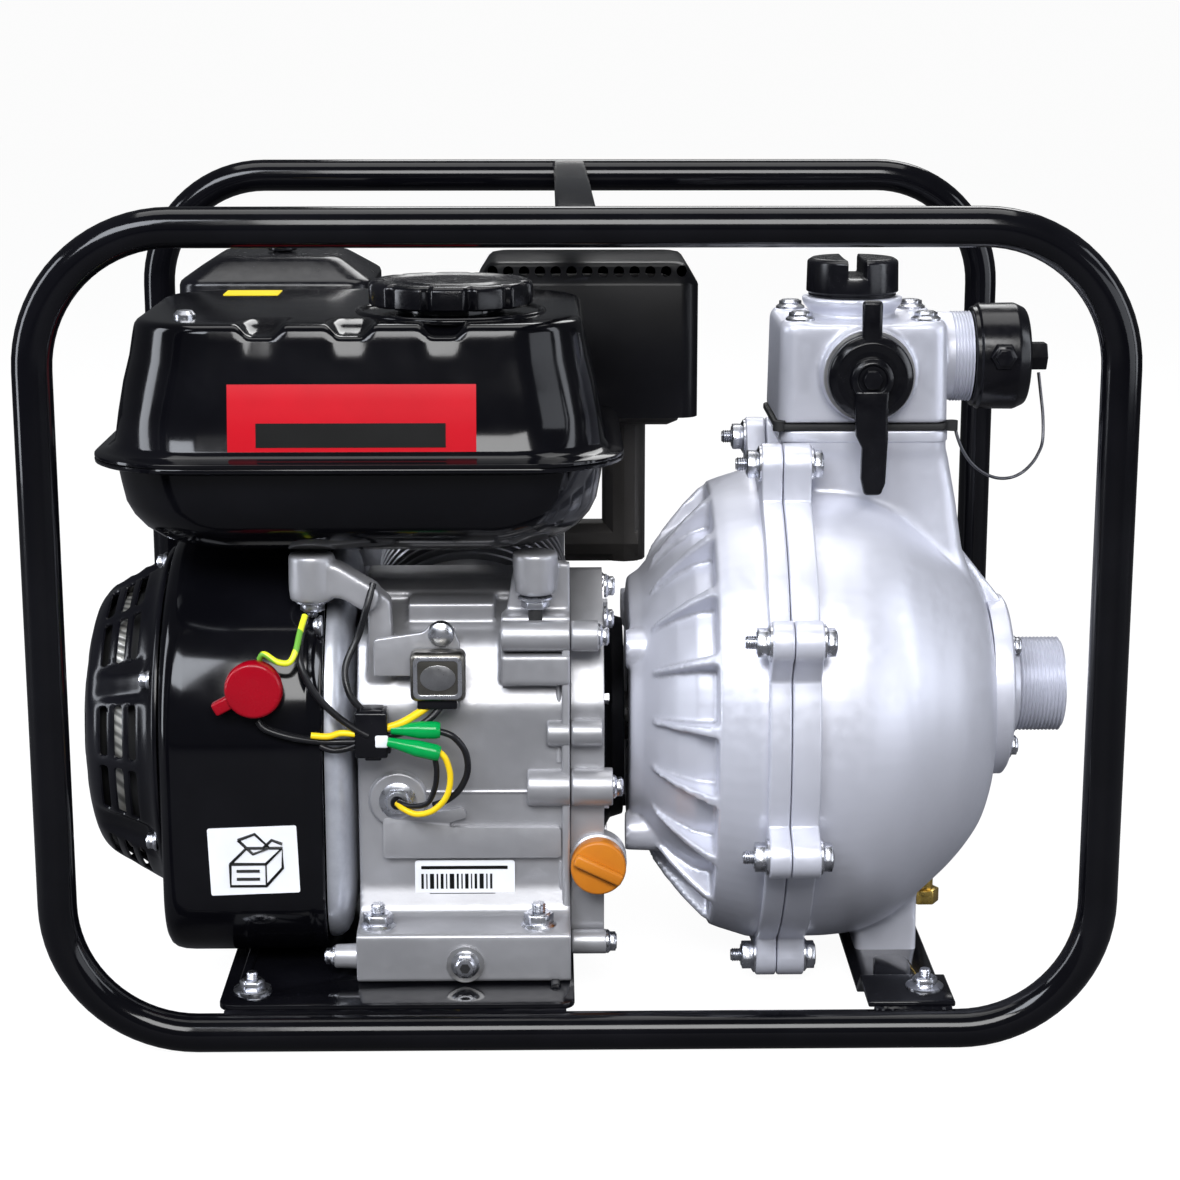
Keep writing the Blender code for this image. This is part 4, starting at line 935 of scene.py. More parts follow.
def fan_drum():
    levels = [
        (FAN_LEFT + 26, 3.0), (FAN_LEFT + 3.5, 3.0), (FAN_LEFT + 3.0, 14.0), (FAN_LEFT + 2.0, 15.0),
        (FAN_LEFT + 0.3, 14.5),
    ]
    levels += [
        (FAN_LEFT + 0.3, 9.0), (FAN_LEFT + 0.8, 5.5), (FAN_LEFT + 2.2, 3.0), (FAN_LEFT + 4.6, 1.3),
        (FAN_LEFT + 8.0, 0.4),
    ]
    levels += [
        (FAN_LEFT + 13.0, 0.1), (FAN_RIGHT - 12, 0.1), (FAN_RIGHT - 8.5, 0.6), (FAN_RIGHT - 7.0, 0.9),
        (FAN_RIGHT - 5.5, 0.1),
    ]
    levels += [(FAN_RIGHT - 1.0, 0.1), (FAN_RIGHT - 0.2, 0.9), (FAN_RIGHT - 0.2, 3.0), (FAN_RIGHT - 20, 3.2)]
    rings = [[(x, y, z) for y, z in fan_outline(inset)] for x, inset in levels]
    drum = loft("fan_drum", rings, (False, False))
    stand_in(drum, "gloss_black_paint", "fan_housing", 42)

    front = CRANK_Y - FAN_RADIUS
    stub = turned(
        "switch_stub", [(0, -3), (8.4, -3), (8.4, 2.6), (7.6, 3.2), (0, 3.2)],
        aim((SWITCH.x, front + 0.5, SWITCH.z), FRONT), 32,
    )
    dress(stub, "black_plastic")

    levels = [
        (FAN_RIGHT + 0.3, 6.2), (FAN_RIGHT + 2.5, 6.0), (FAN_RIGHT + 5.5, 6.6), (FAN_RIGHT + 8.5, 9.0),
        (FAN_RIGHT + 10.6, 13.5), (FAN_RIGHT + 12.4, 22.0), (FAN_RIGHT + 13.6, 36.0),
        (FAN_RIGHT + 14.2, 60.0),
    ]
    rings = [[(x, y, z) for y, z in fan_outline(inset)] for x, inset in levels]
    stand_in(loft("dished_shroud", rings, (False, False)), "bright_sheet", "cooling_shroud", 50)


def recoil_cover():
    """The vented cover: a cone of six bays with slots on its wall and face, and a valley for each bolt."""
    columns, bay, valley_turn = 180, 60.0, 29.0
    profile = [
        (87.6, -200.4), (88, -201.0), (88, -203.2), (84.5, -204.8), (82.2, -208), (81.0, -210.2),
        (80.0, -212.4),
    ]
    profile += [
        (77.8, -216.0), (75.8, -219.8), (73.4, -223.4), (71.2, -227.8), (69.0, -231.4), (67.0, -234.0)
    ]
    profile += [
        (64.5, -236.4), (61, -238.5), (55.5, -240.3), (48, -242), (40, -243.3), (31, -244.5), (21, -245.2)
    ]
    profile += [(11, -245.7), (0.6, -246)]
    wall_rows, face_rows = (6, 8, 10), (15, 17)
    dents = dict(enumerate((4.4, 5.2, 5.2, 5.0, 4.6, 4.0, 3.2, 2.2, 1.2, 0.4), 4))

    def pierced(row, place):
        if row in wall_rows:
            return 8 <= place < 28 or 32 <= place < 52
        return row in face_rows and (10 <= place < 26 or 34 <= place < 50)

    bm = bmesh.new()
    grid = []
    for row, (radius, x) in enumerate(profile):
        ring = []
        for i in range(columns):
            place = (360.0 * (i + 0.5) / columns) % bay
            near = min(place + 1.0, bay - place - 1.0)
            valley = min(1.0, 2.2 * max(0.0, 1.0 - near / 8.0))
            turn = math.radians(360.0 * (i + 0.5) / columns + valley_turn)
            reach = radius - dents.get(row, 0.0) * valley
            ring.append(bm.verts.new((x, CRANK_Y - reach * math.cos(turn), CRANK_Z + reach * math.sin(turn))))
        grid.append(ring)
    for row in range(len(profile) - 1):
        for i in range(columns):
            if pierced(row, (360.0 * (i + 1) / columns) % bay):
                continue
            after = (i + 1) % columns
            bm.faces.new((grid[row][i], grid[row][after], grid[row + 1][after], grid[row + 1][i]))
    bm.faces.new(grid[-1])
    cover = keep("recoil_cover_shell", bm)
    wall = cover.modifiers.new("wall", "SOLIDIFY")
    wall.thickness = 2.2 * MM
    wall.offset = -1
    finer = cover.modifiers.new("finer", "SUBSURF")
    finer.levels = finer.render_levels = 1
    bake(cover)
    stand_in(cover, "satin_black_paint", "recoil_cover", 40)

    axis = along_x(CRANK_Y, CRANK_Z)
    band = [(68.6, -218.6), (66.0, -224.6), (65.2, -224.6), (67.8, -218.6)]
    dress(turned("recoil_gauze", band, axis, 120), "gauze")
    shade_liner = [
        # Painted shade: a dark sheet inside the cover, behind the wall slots, that stands in for the shade
        # within the cover.
        (74.0, -204), (67.0, -217), (61.6, -230), (54, -236), (52.6, -235), (60.6, -229), (66.0, -216),
        (73, -204),
    ]
    dress(turned("recoil_painted_shade_liner", shade_liner, axis, 96), "rubber")
    for index in range(6):
        turn = math.radians(valley_turn - 1 + 60 * index)
        y, z = CRANK_Y - 81.6 * math.cos(turn), CRANK_Z + 81.6 * math.sin(turn)
        hex_head(f"recoil_bolt_{index + 1}", (-204.8, y, z), LEFT, 3.7, 4.6, 5.0)
    low, high = span("starter_grip")
    grip = block("starter_grip_body", (low.x, high.x), (low.y, high.y), (low.z, high.z))
    stand_in(soften(grip, 4.5, 5), "black_plastic", "starter_grip")
    x, z = middle("starter_rope").xz
    rope = tube("starter_rope_cord", [(x, y, z) for y in range(-94, 27, 6)], 1.6, 12)
    stand_in(rope, "rope", "starter_rope")
    eye = turned(
        "rope_eyelet", [(2.6, -1.5), (5.6, -1.5), (5.6, 0.2), (4.4, 1.6), (2.6, 1.6)],
        aim((x, 11, z), (0, 1, 0)), 32,
    )
    dress(eye, "zinc_steel")
    refined("recoil_pulley", "black_plastic", 0.6)


# ---------------------------------------------------------------- engine block
def crankcase():
    """The hollow block with its posts and pads grown together, then its seam bosses and front details."""
    deck = 62.0
    low_flange, high_flange = BORE @ Vector((0, 50, deck)), BORE @ Vector((0, -50, deck))
    outline = [(-160, BASE_LOW, 0.8), (30, BASE_LOW, 0.8), (30, 46, 3), (3, 49, 5), (5, 70, 0)]
    outline += [
        (low_flange.y, low_flange.z, 0), (high_flange.y, high_flange.z, 0), (-60, 198, 8), (-78, 196, 3)
    ]
    outline += [
        (-78, 190, 3), (-112, 181, 16), (-129.5, 150, 16), (-129.5, 60, 11), (-134.5, 46.8, 5),
        (-160, 45.5, 2.0),
    ]
    top = span("crankcase")[1].z
    body = prism("case_body", [rounded(outline, 7)], CASE_LEFT, CASE_RIGHT, X_AXIS, 0.0)
    about_crank = along_x(CRANK_Y, CRANK_Z)
    room = turned("crank_room", [(0, -98), (59, -98), (59, 5), (0, 5)][::-1], about_crank, 48)
    sleeve = turned("barrel_seat", [(0, 30), (42.6, 30), (42.6, deck + 20), (0, deck + 20)][::-1], BORE, 48)
    pieces = [carve(body, room, sleeve)]
    post = [(0, 203.0), (9.0, 203.0), (9.8, 206), (10.6, 214), (11, top - 1), (10, top), (0, top)]
    pieces.append(turned("post_right", post, upright(-20, -119), 40))
    post = [(0, 201), (10.4, 201), (11, 206), (11, top - 1), (10, top), (0, top)]
    pieces.append(turned("post_left", post, upright(-126.5, -121.5), 40))
    arm = rounded(
        [(-128, 203, 0), (-128, 220, 2), (-114, 219, 6), (-93, 206, 5), (-97.5, 194, 5), (-112, 203, 8)], 6
    )
    pieces.append(prism("post_arm", [arm], 112.5, 129.3, Y_AXIS, 0.0))
    root = rounded([(-100, 150, 0), (-100, 200, 0), (-95, 206, 3), (-89, 200, 4), (-88, 150, 0)], 5)
    pieces.append(prism("post_arm_root", [root], 110.5, 124.0, Y_AXIS, 0.0))
    web = rounded(
        [
            (-38, 172, 0), (-30, 216, 3), (-16, 219, 0), (CASE_RIGHT, 216, 0), (CASE_RIGHT, 150, 0),
            (-38, 150, 0),
        ],
        4,
    )
    pieces.append(prism("post_gusset", [web], 106, 113.5, Y_AXIS, 0.0))
    pieces.append(block("right_pad", (-36.5, CASE_RIGHT), (-134.3, -116), (161, 176)))
    pieces.append(block("right_pad_top", (-36.5, CASE_RIGHT), (-125.5, -112), (170, 193)))
    pieces.append(block("deck_step", (-82, -40), (-100, -80), (184, 194)))
    casting = cast("crankcase_casting", pieces, 1.2, 3)
    stand_in(casting, "grey_casting", "crankcase", 60)
    case_lugs()
    case_front()


def case_lugs():
    """Bolt bosses along the seam with the side cover, each half on one side."""
    rows = ((184.5, 7.4, 33, 10), (136.5, 6.6, 11.5, 12), (109.5, 9.2, 21, 17), (30.5, 6.0, 2, 14))
    for index, (z, radius, reach, end) in enumerate(rows):
        for side, (start, stop) in enumerate(
            ((CASE_RIGHT - reach, CASE_RIGHT - 0.15), (CASE_RIGHT + 0.35, end))
        ):
            shape = [(0, start, 0), (radius, start, 1.5), (radius, stop, 0.6), (0, stop, 0)]
            boss = lathe(f"seam_boss_{index}_{side}", shape, along_x(-129.0, z), 36)
            dress(boss, "grey_casting", smooth=40)
    for index, (x, y, z) in enumerate(
        ((10, -129, 184.5), (17, -129, 109.5), (14, -129, 30.5), (13, -116, 206))
    ):
        hex_head(f"seam_bolt_{index + 1}", (x, y, z), RIGHT, 4.4, 4.6, 5.8)
    for index, (y, z) in enumerate(((6, 60), (12, 150), (-22, 186), (-100, 186))):
        hex_head(f"cover_bolt_{index + 1}", (13.4, y, z), RIGHT, 4.4, 4.2, 6.2)
    stud = aim((-20, -124.5, 201.7), DOWN)
    dress(
        turned("post_stud", [(0, 0), (3.4, 0), (3.4, 14.5), (2.6, 15.5), (0, 15.5)][::-1], stud, 24), "rubber"
    )
    hex_head("post_nut_right", (-20, -122.5, 202.5), DOWN, 6.2, 5.4, 8.2)


def case_front():
    """Raised panel, ribs, seam rail, foot and stub on the control side."""
    face = CASE_FRONT + 0.5
    panel = rounded(
        [
            (-94, 75, 2), (-94, 95, 2), (-55, 100, 2), (-53, 95.5, 2), (-62, 93, 2), (-62, 90.5, 1.5),
            (-8, 90, 2), (-8, 75, 2),
        ],
        4,
    )
    dress(prism("case_raised_panel", [panel], -face - 1.4, -face + 3.6, Y_AXIS, 0.5, 2), "grey_casting")
    lines = (
        [(-88, 102), (-86, 106.5), (-78, 107.4), (-52, 107.4), (-22, 107.4)],
        [(-36, 160), (-12, 160), (-9, 157), (-9, 122)],
    )
    lines += ([(-8, 72), (-8, 52)], [(-60, 186), (-61, 170), (-66, 156), (-74, 150)])
    for index, line in enumerate(lines):
        route = [(x, face + 0.3 + max(0.0, z - 150) * 0.36, z) for x, z in line]
        dress(tube(f"case_rib_{index}", smooth_line(route, 4), 1.3, 10), "grey_casting")
    rail = block("case_seam_rail", (-7.5, CASE_RIGHT - 0.2), (-133.2, -125), (46, 190))
    dress(soften(rail, 1.2, 3), "grey_casting")
    foot = block("case_foot_pads", (CASE_LEFT + 1, CASE_RIGHT - 1), (-159.8, -150), (BASE_LOW + 0.2, 44.8))
    dress(soften(foot, 1.2, 3), "grey_casting")
    shape = [(0, -8, 0), (6.4, -8, 0), (5.6, 11, 1), (0, 11, 0)]
    dress(lathe("foot_stub", shape, aim((CASE_LEFT, -150, 31.5), LEFT), 32), "grey_casting")
    hex_head("foot_stub_bolt", (CASE_LEFT - 10.8, -150, 31.5), LEFT, 3.6, 4.4, 4.8)


def side_cover():
    left, step, right = CASE_RIGHT + 0.3, 13.0, 23.5
    outline = rounded(
        [
            (-126, 30, 10), (-20, 28, 14), (8, 66, 16), (17, 146, 24), (-24, 192, 14), (-62, 204, 12),
            (-108, 184, 14), (-127, 150, 12),
        ],
        6,
    )
    shaft = circle(SHAFT_HOLE, (CRANK_Y, CRANK_Z), 40)
    plate = prism("cover_plate", [outline, shaft], left, step, X_AXIS, 1.8, 3)
    axis = along_x(CRANK_Y, CRANK_Z)
    # Painted shade: the drum takes the black guard paint to stand in for the deep shadow between the side
    # cover and the pump.
    rim = rounded(
        [(SHAFT_HOLE, 5, 0), (60, 5, 0), (58, 14, 2), (52, 17, 2), (50, right, 1.2), (SHAFT_HOLE, right, 0)],
        5,
    )
    boss = turned("cover_drum_painted_shade", rim[::-1], axis, 72)
    dress(boss, "guard_paint")
    pieces = [plate]
    for index in range(8):
        turn = 2 * math.pi * (index + 0.5) / 8
        fin = block(f"cover_fin_{index}", (6, 15.5), (-1.6, 1.6), (46, 72))
        fin.data.transform(
            Matrix.Translation((0, CRANK_Y * MM, CRANK_Z * MM)) @ Matrix.Rotation(turn, 4, "X")
        )
        pieces.append(fin)
    neck = turned(
        "filler_neck_oil", [(0, 0), (14, 0), (14, 9), (13, 9.7), (0, 9.7)],
        aim((10, -119.4, middle("oil_filler_cap").z), FRONT), 40,
    )
    stand_in(joined("side_cover_casting", [*pieces, neck]), "grey_casting", "crankcase_side_cover")


def oil_parts():
    center = Vector((10, span("oil_filler_cap")[1].y, middle("oil_filler_cap").z))
    shape = [(0, 0, 0), (13.2, 0, 0.8), (13.5, 9.5, 1.6), (0, 10.4, 0)]
    cap = lathe("oil_cap_disc", shape, aim(center, FRONT), 56, 5)
    bar = block("oil_cap_bar", (-12.6, 12.6), (-13.8, -9), (-3.0, 3.0))
    bar.data.transform(Matrix.Translation(center * MM) @ Matrix.Rotation(math.radians(26), 4, "Y"))
    stand_in(joined("oil_cap_moulding", [cap, soften(bar, 1.5, 3)]), "orange_plastic", "oil_filler_cap", 40)

    place = (-54, span("oil_drain_bolt")[1].y, middle("oil_drain_bolt").z)
    shape = [(0, -0.2), (8.9, -0.2), (8.9, 1.2), (0, 1.2)]
    dress(turned("drain_washer", shape, aim(place, FRONT), 36), "bare_aluminium")
    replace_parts(hex_head("drain_bolt_head", place, FRONT, 5.0, 6.0, 7.4), "oil_drain_bolt")
    # Painted shade: a flat black disc on the crown stands in for the shade inside the bolt's recess.
    recess = [(0, 5.9), (2.6, 5.9), (2.6, 6.7), (0, 6.7)]
    dress(turned("drain_bolt_recess_painted_shade", recess[::-1], aim(place, FRONT), 6), "rubber")

    place = Vector((-86.6, CASE_FRONT + 0.2, 104))
    shape = [(0, 0, 0), (14.5, 0, 0), (13.5, 3.0, 1.4), (0, 3.0, 0)]
    dress(lathe("sensor_pad", shape, aim(place, FRONT), 48), "grey_casting")
    nut = hex_head("sensor_nut", place + Vector((0, -2.8, 0)), FRONT, 6.2, 3.4, 9.0)
    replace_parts(nut, "oil_level_sensor")
    shape = [(0, 3.0), (3.4, 3.0), (3.4, 7.0), (2.8, 7.6), (0, 7.6)]
    dress(turned("sensor_collar", shape[::-1], aim(place, FRONT), 32), "black_plastic")


def alert_unit():
    """The oil alert box: a dark pressed case with a bright rim and a plain oval badge, on its bracket."""
    xs, ys, zs = (-79.2, -53.0), (-146.8, -134.0), (156.6, 180.4)
    case = block("alert_body", xs, ys, zs)
    stand_in(soften(case, 3.0, 5), "badge_plate", "oil_alert_unit")
    frame_line = prism(
        "alert_rim",
        [
            rectangle(grown(xs, -1.6), grown(zs, -1.6), 3, 5),
            rectangle(grown(xs, -3.6), grown(zs, -3.6), 2, 5),
        ],
        -ys[0] - 0.4, -ys[0] + 0.6, Y_AXIS, 0.3,
    )
    dress(frame_line, "zinc_steel")
    badge = prism(
        "alert_badge",
        [
            [
                (-66.0 + 8.4 * math.cos(a), 168.5 + 6.2 * math.sin(a))
                for a in (math.pi * i / 24 for i in range(48))
            ]
        ],
        -ys[0] - 0.4, -ys[0] + 0.35, Y_AXIS, 0.2,
    )
    dress(badge, "dark_steel")
    foot = block("alert_socket", (-76.0, -57.0), (-145, -135.5), (152.6, 158))
    dress(soften(foot, 0.8, 2), "black_plastic")
    tab = rounded(
        [
            (-97, 166, 0), (-97, 184, 2), (-73, 187.5, 5), (-69, 192, 5), (-60, 192, 6), (-56, 182, 3),
            (-55, 166, 0),
        ],
        5,
    )
    dress(prism("alert_bracket", [tab], 130.2, 133.4, Y_AXIS, 0.8, 3), "grey_casting")
    head = [(0, 0), (6.3, 0), (6.3, 0.8), (5.6, 2.6), (3.8, 3.8), (0, 4.2)]
    dress(turned("alert_screw", head[::-1], aim((-64.7, -133.4, 187.0), FRONT), 40), "zinc_steel")


def wiring():
    plug = block("lead_connector", (-105.6, -90), (-150, -136), (130.0, 152.5))
    stand_in(soften(plug, 1.2, 3), "black_plastic", "wiring_harness")
    for index, (xs, zs) in enumerate(
        (((-94, -88.5), (132, 141)), ((-103, -92), (150, 153.6)), ((-101, -93), (128.6, 131)))
    ):
        latch = block(f"connector_latch_{index}", xs, (-149, -138), zs)
        dress(soften(latch, 0.9, 2), "black_plastic")
    tie = block("lead_tie", (-95.8, -89.6), (-151.2, -149.2), (135.5, 141.5))
    dress(soften(tie, 0.9, 3), "label_white")
    sleeves = (
        ((-88.5, -147, 143.6), (1, 0, -0.02), 23.5, 4.2), ((-90, -150.5, 138.6), (1, 0, -0.24), 25.5, 4.0)
    )
    for index, (start, heading, length, radius) in enumerate(sleeves):
        corners = [
            (0, 0, 0), (radius * 0.55, 0, 0.5), (radius * 0.7, 6, 3), (radius, 14, 3), (radius, length - 2, 1)
        ]
        shape = rounded([*corners, (radius * 0.85, length, 0.5), (0, length, 0)], 4, False)
        dress(turned(f"lead_sleeve_{index + 1}", shape[::-1], aim(start, heading), 28), "wire_sleeve")
    leads = [
        (
            "switch_lead_black",
            [
                (-151, -149, 148.5), (-147, -150, 144.5), (-135, -150, 140.6), (-122, -148, 138),
                (-110, -147, 137.6), (-100, -148, 138),
            ],
            1.6, "wire_black",
        ),
        (
            "switch_lead_yellow",
            [(-126, -150, 141.6), (-118, -149.6, 141), (-112, -147.5, 142), (-104, -148, 141.5)], 1.6,
            "wire_yellow",
        ),
        (
            "switch_lead_tail",
            [(-122, -149, 136.2), (-116, -149, 134), (-109, -147.5, 134.5), (-103, -147.5, 137)], 1.5,
            "wire_black",
        ),
        (
            "earth_lead",
            [
                (-149.5, -146.8, 178), (-147, -149, 181), (-141, -150, 177.5), (-135.5, -149, 177),
                (-132.5, -146, 182), (-131, -140, 189), (-129, -133.5, 196),
            ],
            1.5, "wire_earth",
        ),
        (
            "post_lead",
            [
                (-129, -134, 194), (-131, -140, 184), (-130, -147, 174), (-124, -149, 162), (-115, -149, 152),
                (-106, -149, 145), (-99, -149, 141),
            ],
            1.7, "wire_black",
        ),
        (
            "unit_lead_yellow",
            [(-70, -141, 154), (-76, -144, 150.5), (-83, -147, 147), (-90, -147, 144.5), (-96, -146, 143)],
            1.9, "wire_yellow",
        ),
        (
            "unit_lead_black",
            [(-64.5, -141, 154), (-69, -144, 149), (-76, -146, 144.5), (-84, -146, 141.5), (-94, -145, 139)],
            1.8, "wire_black",
        ),
        (
            "sensor_lead_yellow",
            [
                (-66, -151, 134), (-62.5, -151, 130), (-60.5, -150, 121), (-62.5, -149, 111),
                (-69, -147, 103.5), (-77, -145, 101), (-83.5, -142, 102.8), (-86.6, -137.6, 104),
            ],
            1.5, "wire_yellow",
        ),
        (
            "sensor_lead_black",
            [
                (-68, -149, 131), (-67, -149, 124), (-68, -148, 115), (-72, -147, 107), (-80, -143, 104.5),
                (-86, -137.8, 105),
            ],
            1.4, "wire_black",
        ),
        (
            "spare_lead_black",
            [
                (-66, -148, 143), (-59, -149, 140.5), (-53.5, -148, 133), (-52.4, -147, 123),
                (-56, -146, 114), (-62, -146, 108.5), (-69, -145, 105.5),
            ],
            1.6, "wire_black",
        ),
        (
            "coil_lead_black",
            [
                (-100, -144, 150), (-108, -143, 160), (-110, -138, 172), (-104, -132.5, 186),
                (-100, -131.5, 199), (-97, -127, 210),
            ],
            1.7, "wire_black",
        ),
    ]
    for name, points, radius, look in leads:
        dress(tube(name, smooth_line(points, 7), radius, 14), look)


def engine_switch():
    face = SWITCH.y - 0.2
    disc = lathe(
        "switch_disc", [(0, 0, 0), (12.8, 0, 0.5), (13.8, 6.5, 1.5), (13.2, 10.4, 2), (0, 10.9, 0)],
        aim((SWITCH.x, face, SWITCH.z), FRONT), 56, 5,
    )
    tab = block("switch_tab", (10, 21.4), (-8.5, -2.5), (-3.2, 3.2))
    turn = Matrix.Rotation(math.radians(152), 4, "Y")
    tab.data.transform(Matrix.Translation((SWITCH.x * MM, face * MM, SWITCH.z * MM)) @ turn)
    stand_in(joined("switch_knob", [disc, soften(tab, 1.2, 3)]), "red_plastic", "engine_switch", 40)


def upper_engine():
    high = 127.6
    profile = [(41.2, 53), (41.2, 62.5), (49.5, 62.5), (49.5, 67.5), (43.5, 68.5)]
    at = 71.0
    while at < high - 4:
        profile += [(44.0, at), (50.4, at + 0.4), (51.0, at + 1.2), (50.4, at + 2.0), (44.0, at + 2.5)]
        at += 6.4
    profile += [(44.0, high), (34.6, high), (34.6, 53)]
    barrel = turned("barrel_fins", profile, BORE, 72)
    stand_in(barrel, "grey_casting", "cylinder_barrel", 40)
    refined("cylinder_head", "grey_casting", 1.4)
    refined("rocker_cover", "gloss_black_paint", 1.6)
    for index, (x, across) in enumerate(((-34, -32), (-34, 32), (16, -32), (16, 32))):
        place = BORE @ Vector((x, across, 177.0))
        hex_head(f"rocker_bolt_{index + 1}", place, BORE.to_3x3() @ Vector((0, 0, 1)), 3.2, 2.6, 4.0)
    boot = [
        (0, 136), (4, 136), (8.4, 140), (8.4, 160), (10.8, 162), (10.8, 170), (9.4, 172), (8.2, 178),
        (8.8, 182), (8.2, 186), (8.8, 190), (8.2, 195), (6, 196), (0, 196),
    ]
    plug = turned("spark_plug_boot", boot[::-1], BORE @ upright(34, 0), 40)
    stand_in(plug, "rubber", "spark_plug", 40)
    for node, width in (
        ("carburettor", 1.2), ("choke_lever", 0.6), ("fuel_cock_lever", 0.6), ("throttle_lever", 0.6)
    ):
        refined(node, NODE_SLOTS[node], width)


def moving_inside():
    for node in (
        "flywheel", "crankshaft_flywheel_side", "crankshaft_pump_side", "impeller", "piston", "connecting_rod"
    ):
        refined(
            node,
            {
                "flywheel": "bare_aluminium", "impeller": "brass", "piston": "bare_aluminium"
            }.get(node, "dark_steel"),
            0.5,
        )


def air_cleaner():
    low, high = span("air_cleaner_cover")
    xs, ys = (low.x, high.x), (low.y, high.y)
    base = low.z
    levels = [
        (base, 0, 13), (base + 6, 0.0, 13), (base + 7.0, -1.2, 12), (base + 9, -1.2, 12), (base + 10, 0, 13),
        (333, -0.5, 13), (335, -1.2, 13), (336.5, -3.0, 13), (344.5, -15.5, 9), (346.2, -18.5, 8),
        (347, -22, 6), (347, -30, 4),
    ]
    rings = stacked(xs, ys, levels, 8, 6)
    cover = loft("air_cleaner_hood", rings, (False, True))
    center = middle("air_cleaner_cover")
    knob = lathe(
        "hood_knob", [(0, 345, 0), (5, 345, 0), (5, 347.4, 0.4), (8, 348, 0.5), (8, 350.4, 0.8), (0, 351, 0)],
        upright(center.x, center.y), 32,
    )
    stand_in(joined("air_cleaner_cover_shell", [cover, knob]), "black_plastic", "air_cleaner_cover", 36)
    refined("air_cleaner_base", "black_plastic", 1.2)
    refined("air_filter_element", "filter_foam", 1.5)
    for side in (0, 1):
        clip = block(
            f"hood_clip_{side}", (-166 + side * 10, -160 + side * 10), (low.y - 0.2, low.y + 2), (258, 276)
        )
        dress(soften(clip, 0.8, 2), "zinc_steel")


def exhaust():
    low, high = span("muffler_guard")
    xs, ys, base, top, sheet = (low.x, high.x), (low.y, high.y), low.z, high.z, 1.6
    levels = [
        (base, 0, 10), (top - 12, 0, 10), (top - 10.5, -0.6, 10), (top - 2.4, -5.6, 9), (top - 0.8, -7.4, 8),
        (top, -11, 6),
    ]
    outer = stacked(xs, ys, levels, 8, 4)
    inner = stacked(xs, ys, [(z, g - sheet, max(r - sheet, 2)) for z, g, r in levels[:-1]], 8, 4)
    inner += stacked(xs, ys, [(top - sheet, -15, 5)], 8, 4)
    shell = loft("guard_shell", inner[::-1] + outer, (True, True))
    row, sides = [], []
    for index in range(13):
        x = xs[0] + 9 + index * (xs[1] - xs[0] - 18) / 12
        row.append(drill(f"guard_hole_{index}", (x, (ys[0] + ys[1]) / 2, 340.2), Y_AXIS, 2.8, 130))
    for index in range(7):
        y = ys[0] + 14 + index * (ys[1] - ys[0] - 28) / 6
        sides.append(drill(f"guard_side_{index}", ((xs[0] + xs[1]) / 2, y, 329), X_AXIS, 3.0, 160))
    carve(shell, joined("guard_holes", row), joined("guard_side_holes", sides))
    stand_in(shell, "guard_paint", "muffler_guard", 36)
    refined("muffler", "muffler_steel", 2.0)


# ---------------------------------------------------------------- pump
def lug_angles():
    return [BOLT_TURN + 2 * math.pi * (i - 2) / BOLT_COUNT for i in range(BOLT_COUNT)]


def bolt_place(angle):
    return CRANK_Y - BOLT_CIRCLE * math.cos(angle), FLANGE_Z + BOLT_CIRCLE * math.sin(angle)


def flange_outline(extra=0.0):
    """The flange ring with a round-ended lug at each bolt."""
    outline, half = [], math.asin(LUG_RADIUS / FLANGE_RADIUS) + 0.03
    for angle in lug_angles():
        y, z = bolt_place(angle)
        reach = LUG_RADIUS + extra
        for step in range(13):
            turn = angle - math.pi / 2 + math.pi * step / 12
            outline.append((y - reach * math.cos(turn), z + reach * math.sin(turn)))
        gap_to_next = 2 * math.pi / BOLT_COUNT - 2 * half
        for step in range(11):
            turn = angle + half + gap_to_next * step / 10
            radius = FLANGE_RADIUS + extra
            outline.append((CRANK_Y - radius * math.cos(turn), CASING_Z + 3 + radius * math.sin(turn)))
    return outline


def fin(name, profile, matrix):
    """A web through (radius, along, half thickness) points, standing on a turned face."""
    bm = bmesh.new()
    sides = [[bm.verts.new((x, side * half, radius)) for radius, x, half in profile] for side in (-1, 1)]
    bm.faces.new(sides[0])
    bm.faces.new(sides[1])
    for i in range(len(profile)):
        after = (i + 1) % len(profile)
        bm.faces.new((sides[0][i], sides[0][after], sides[1][after], sides[1][i]))
    return keep(name, bm, matrix)


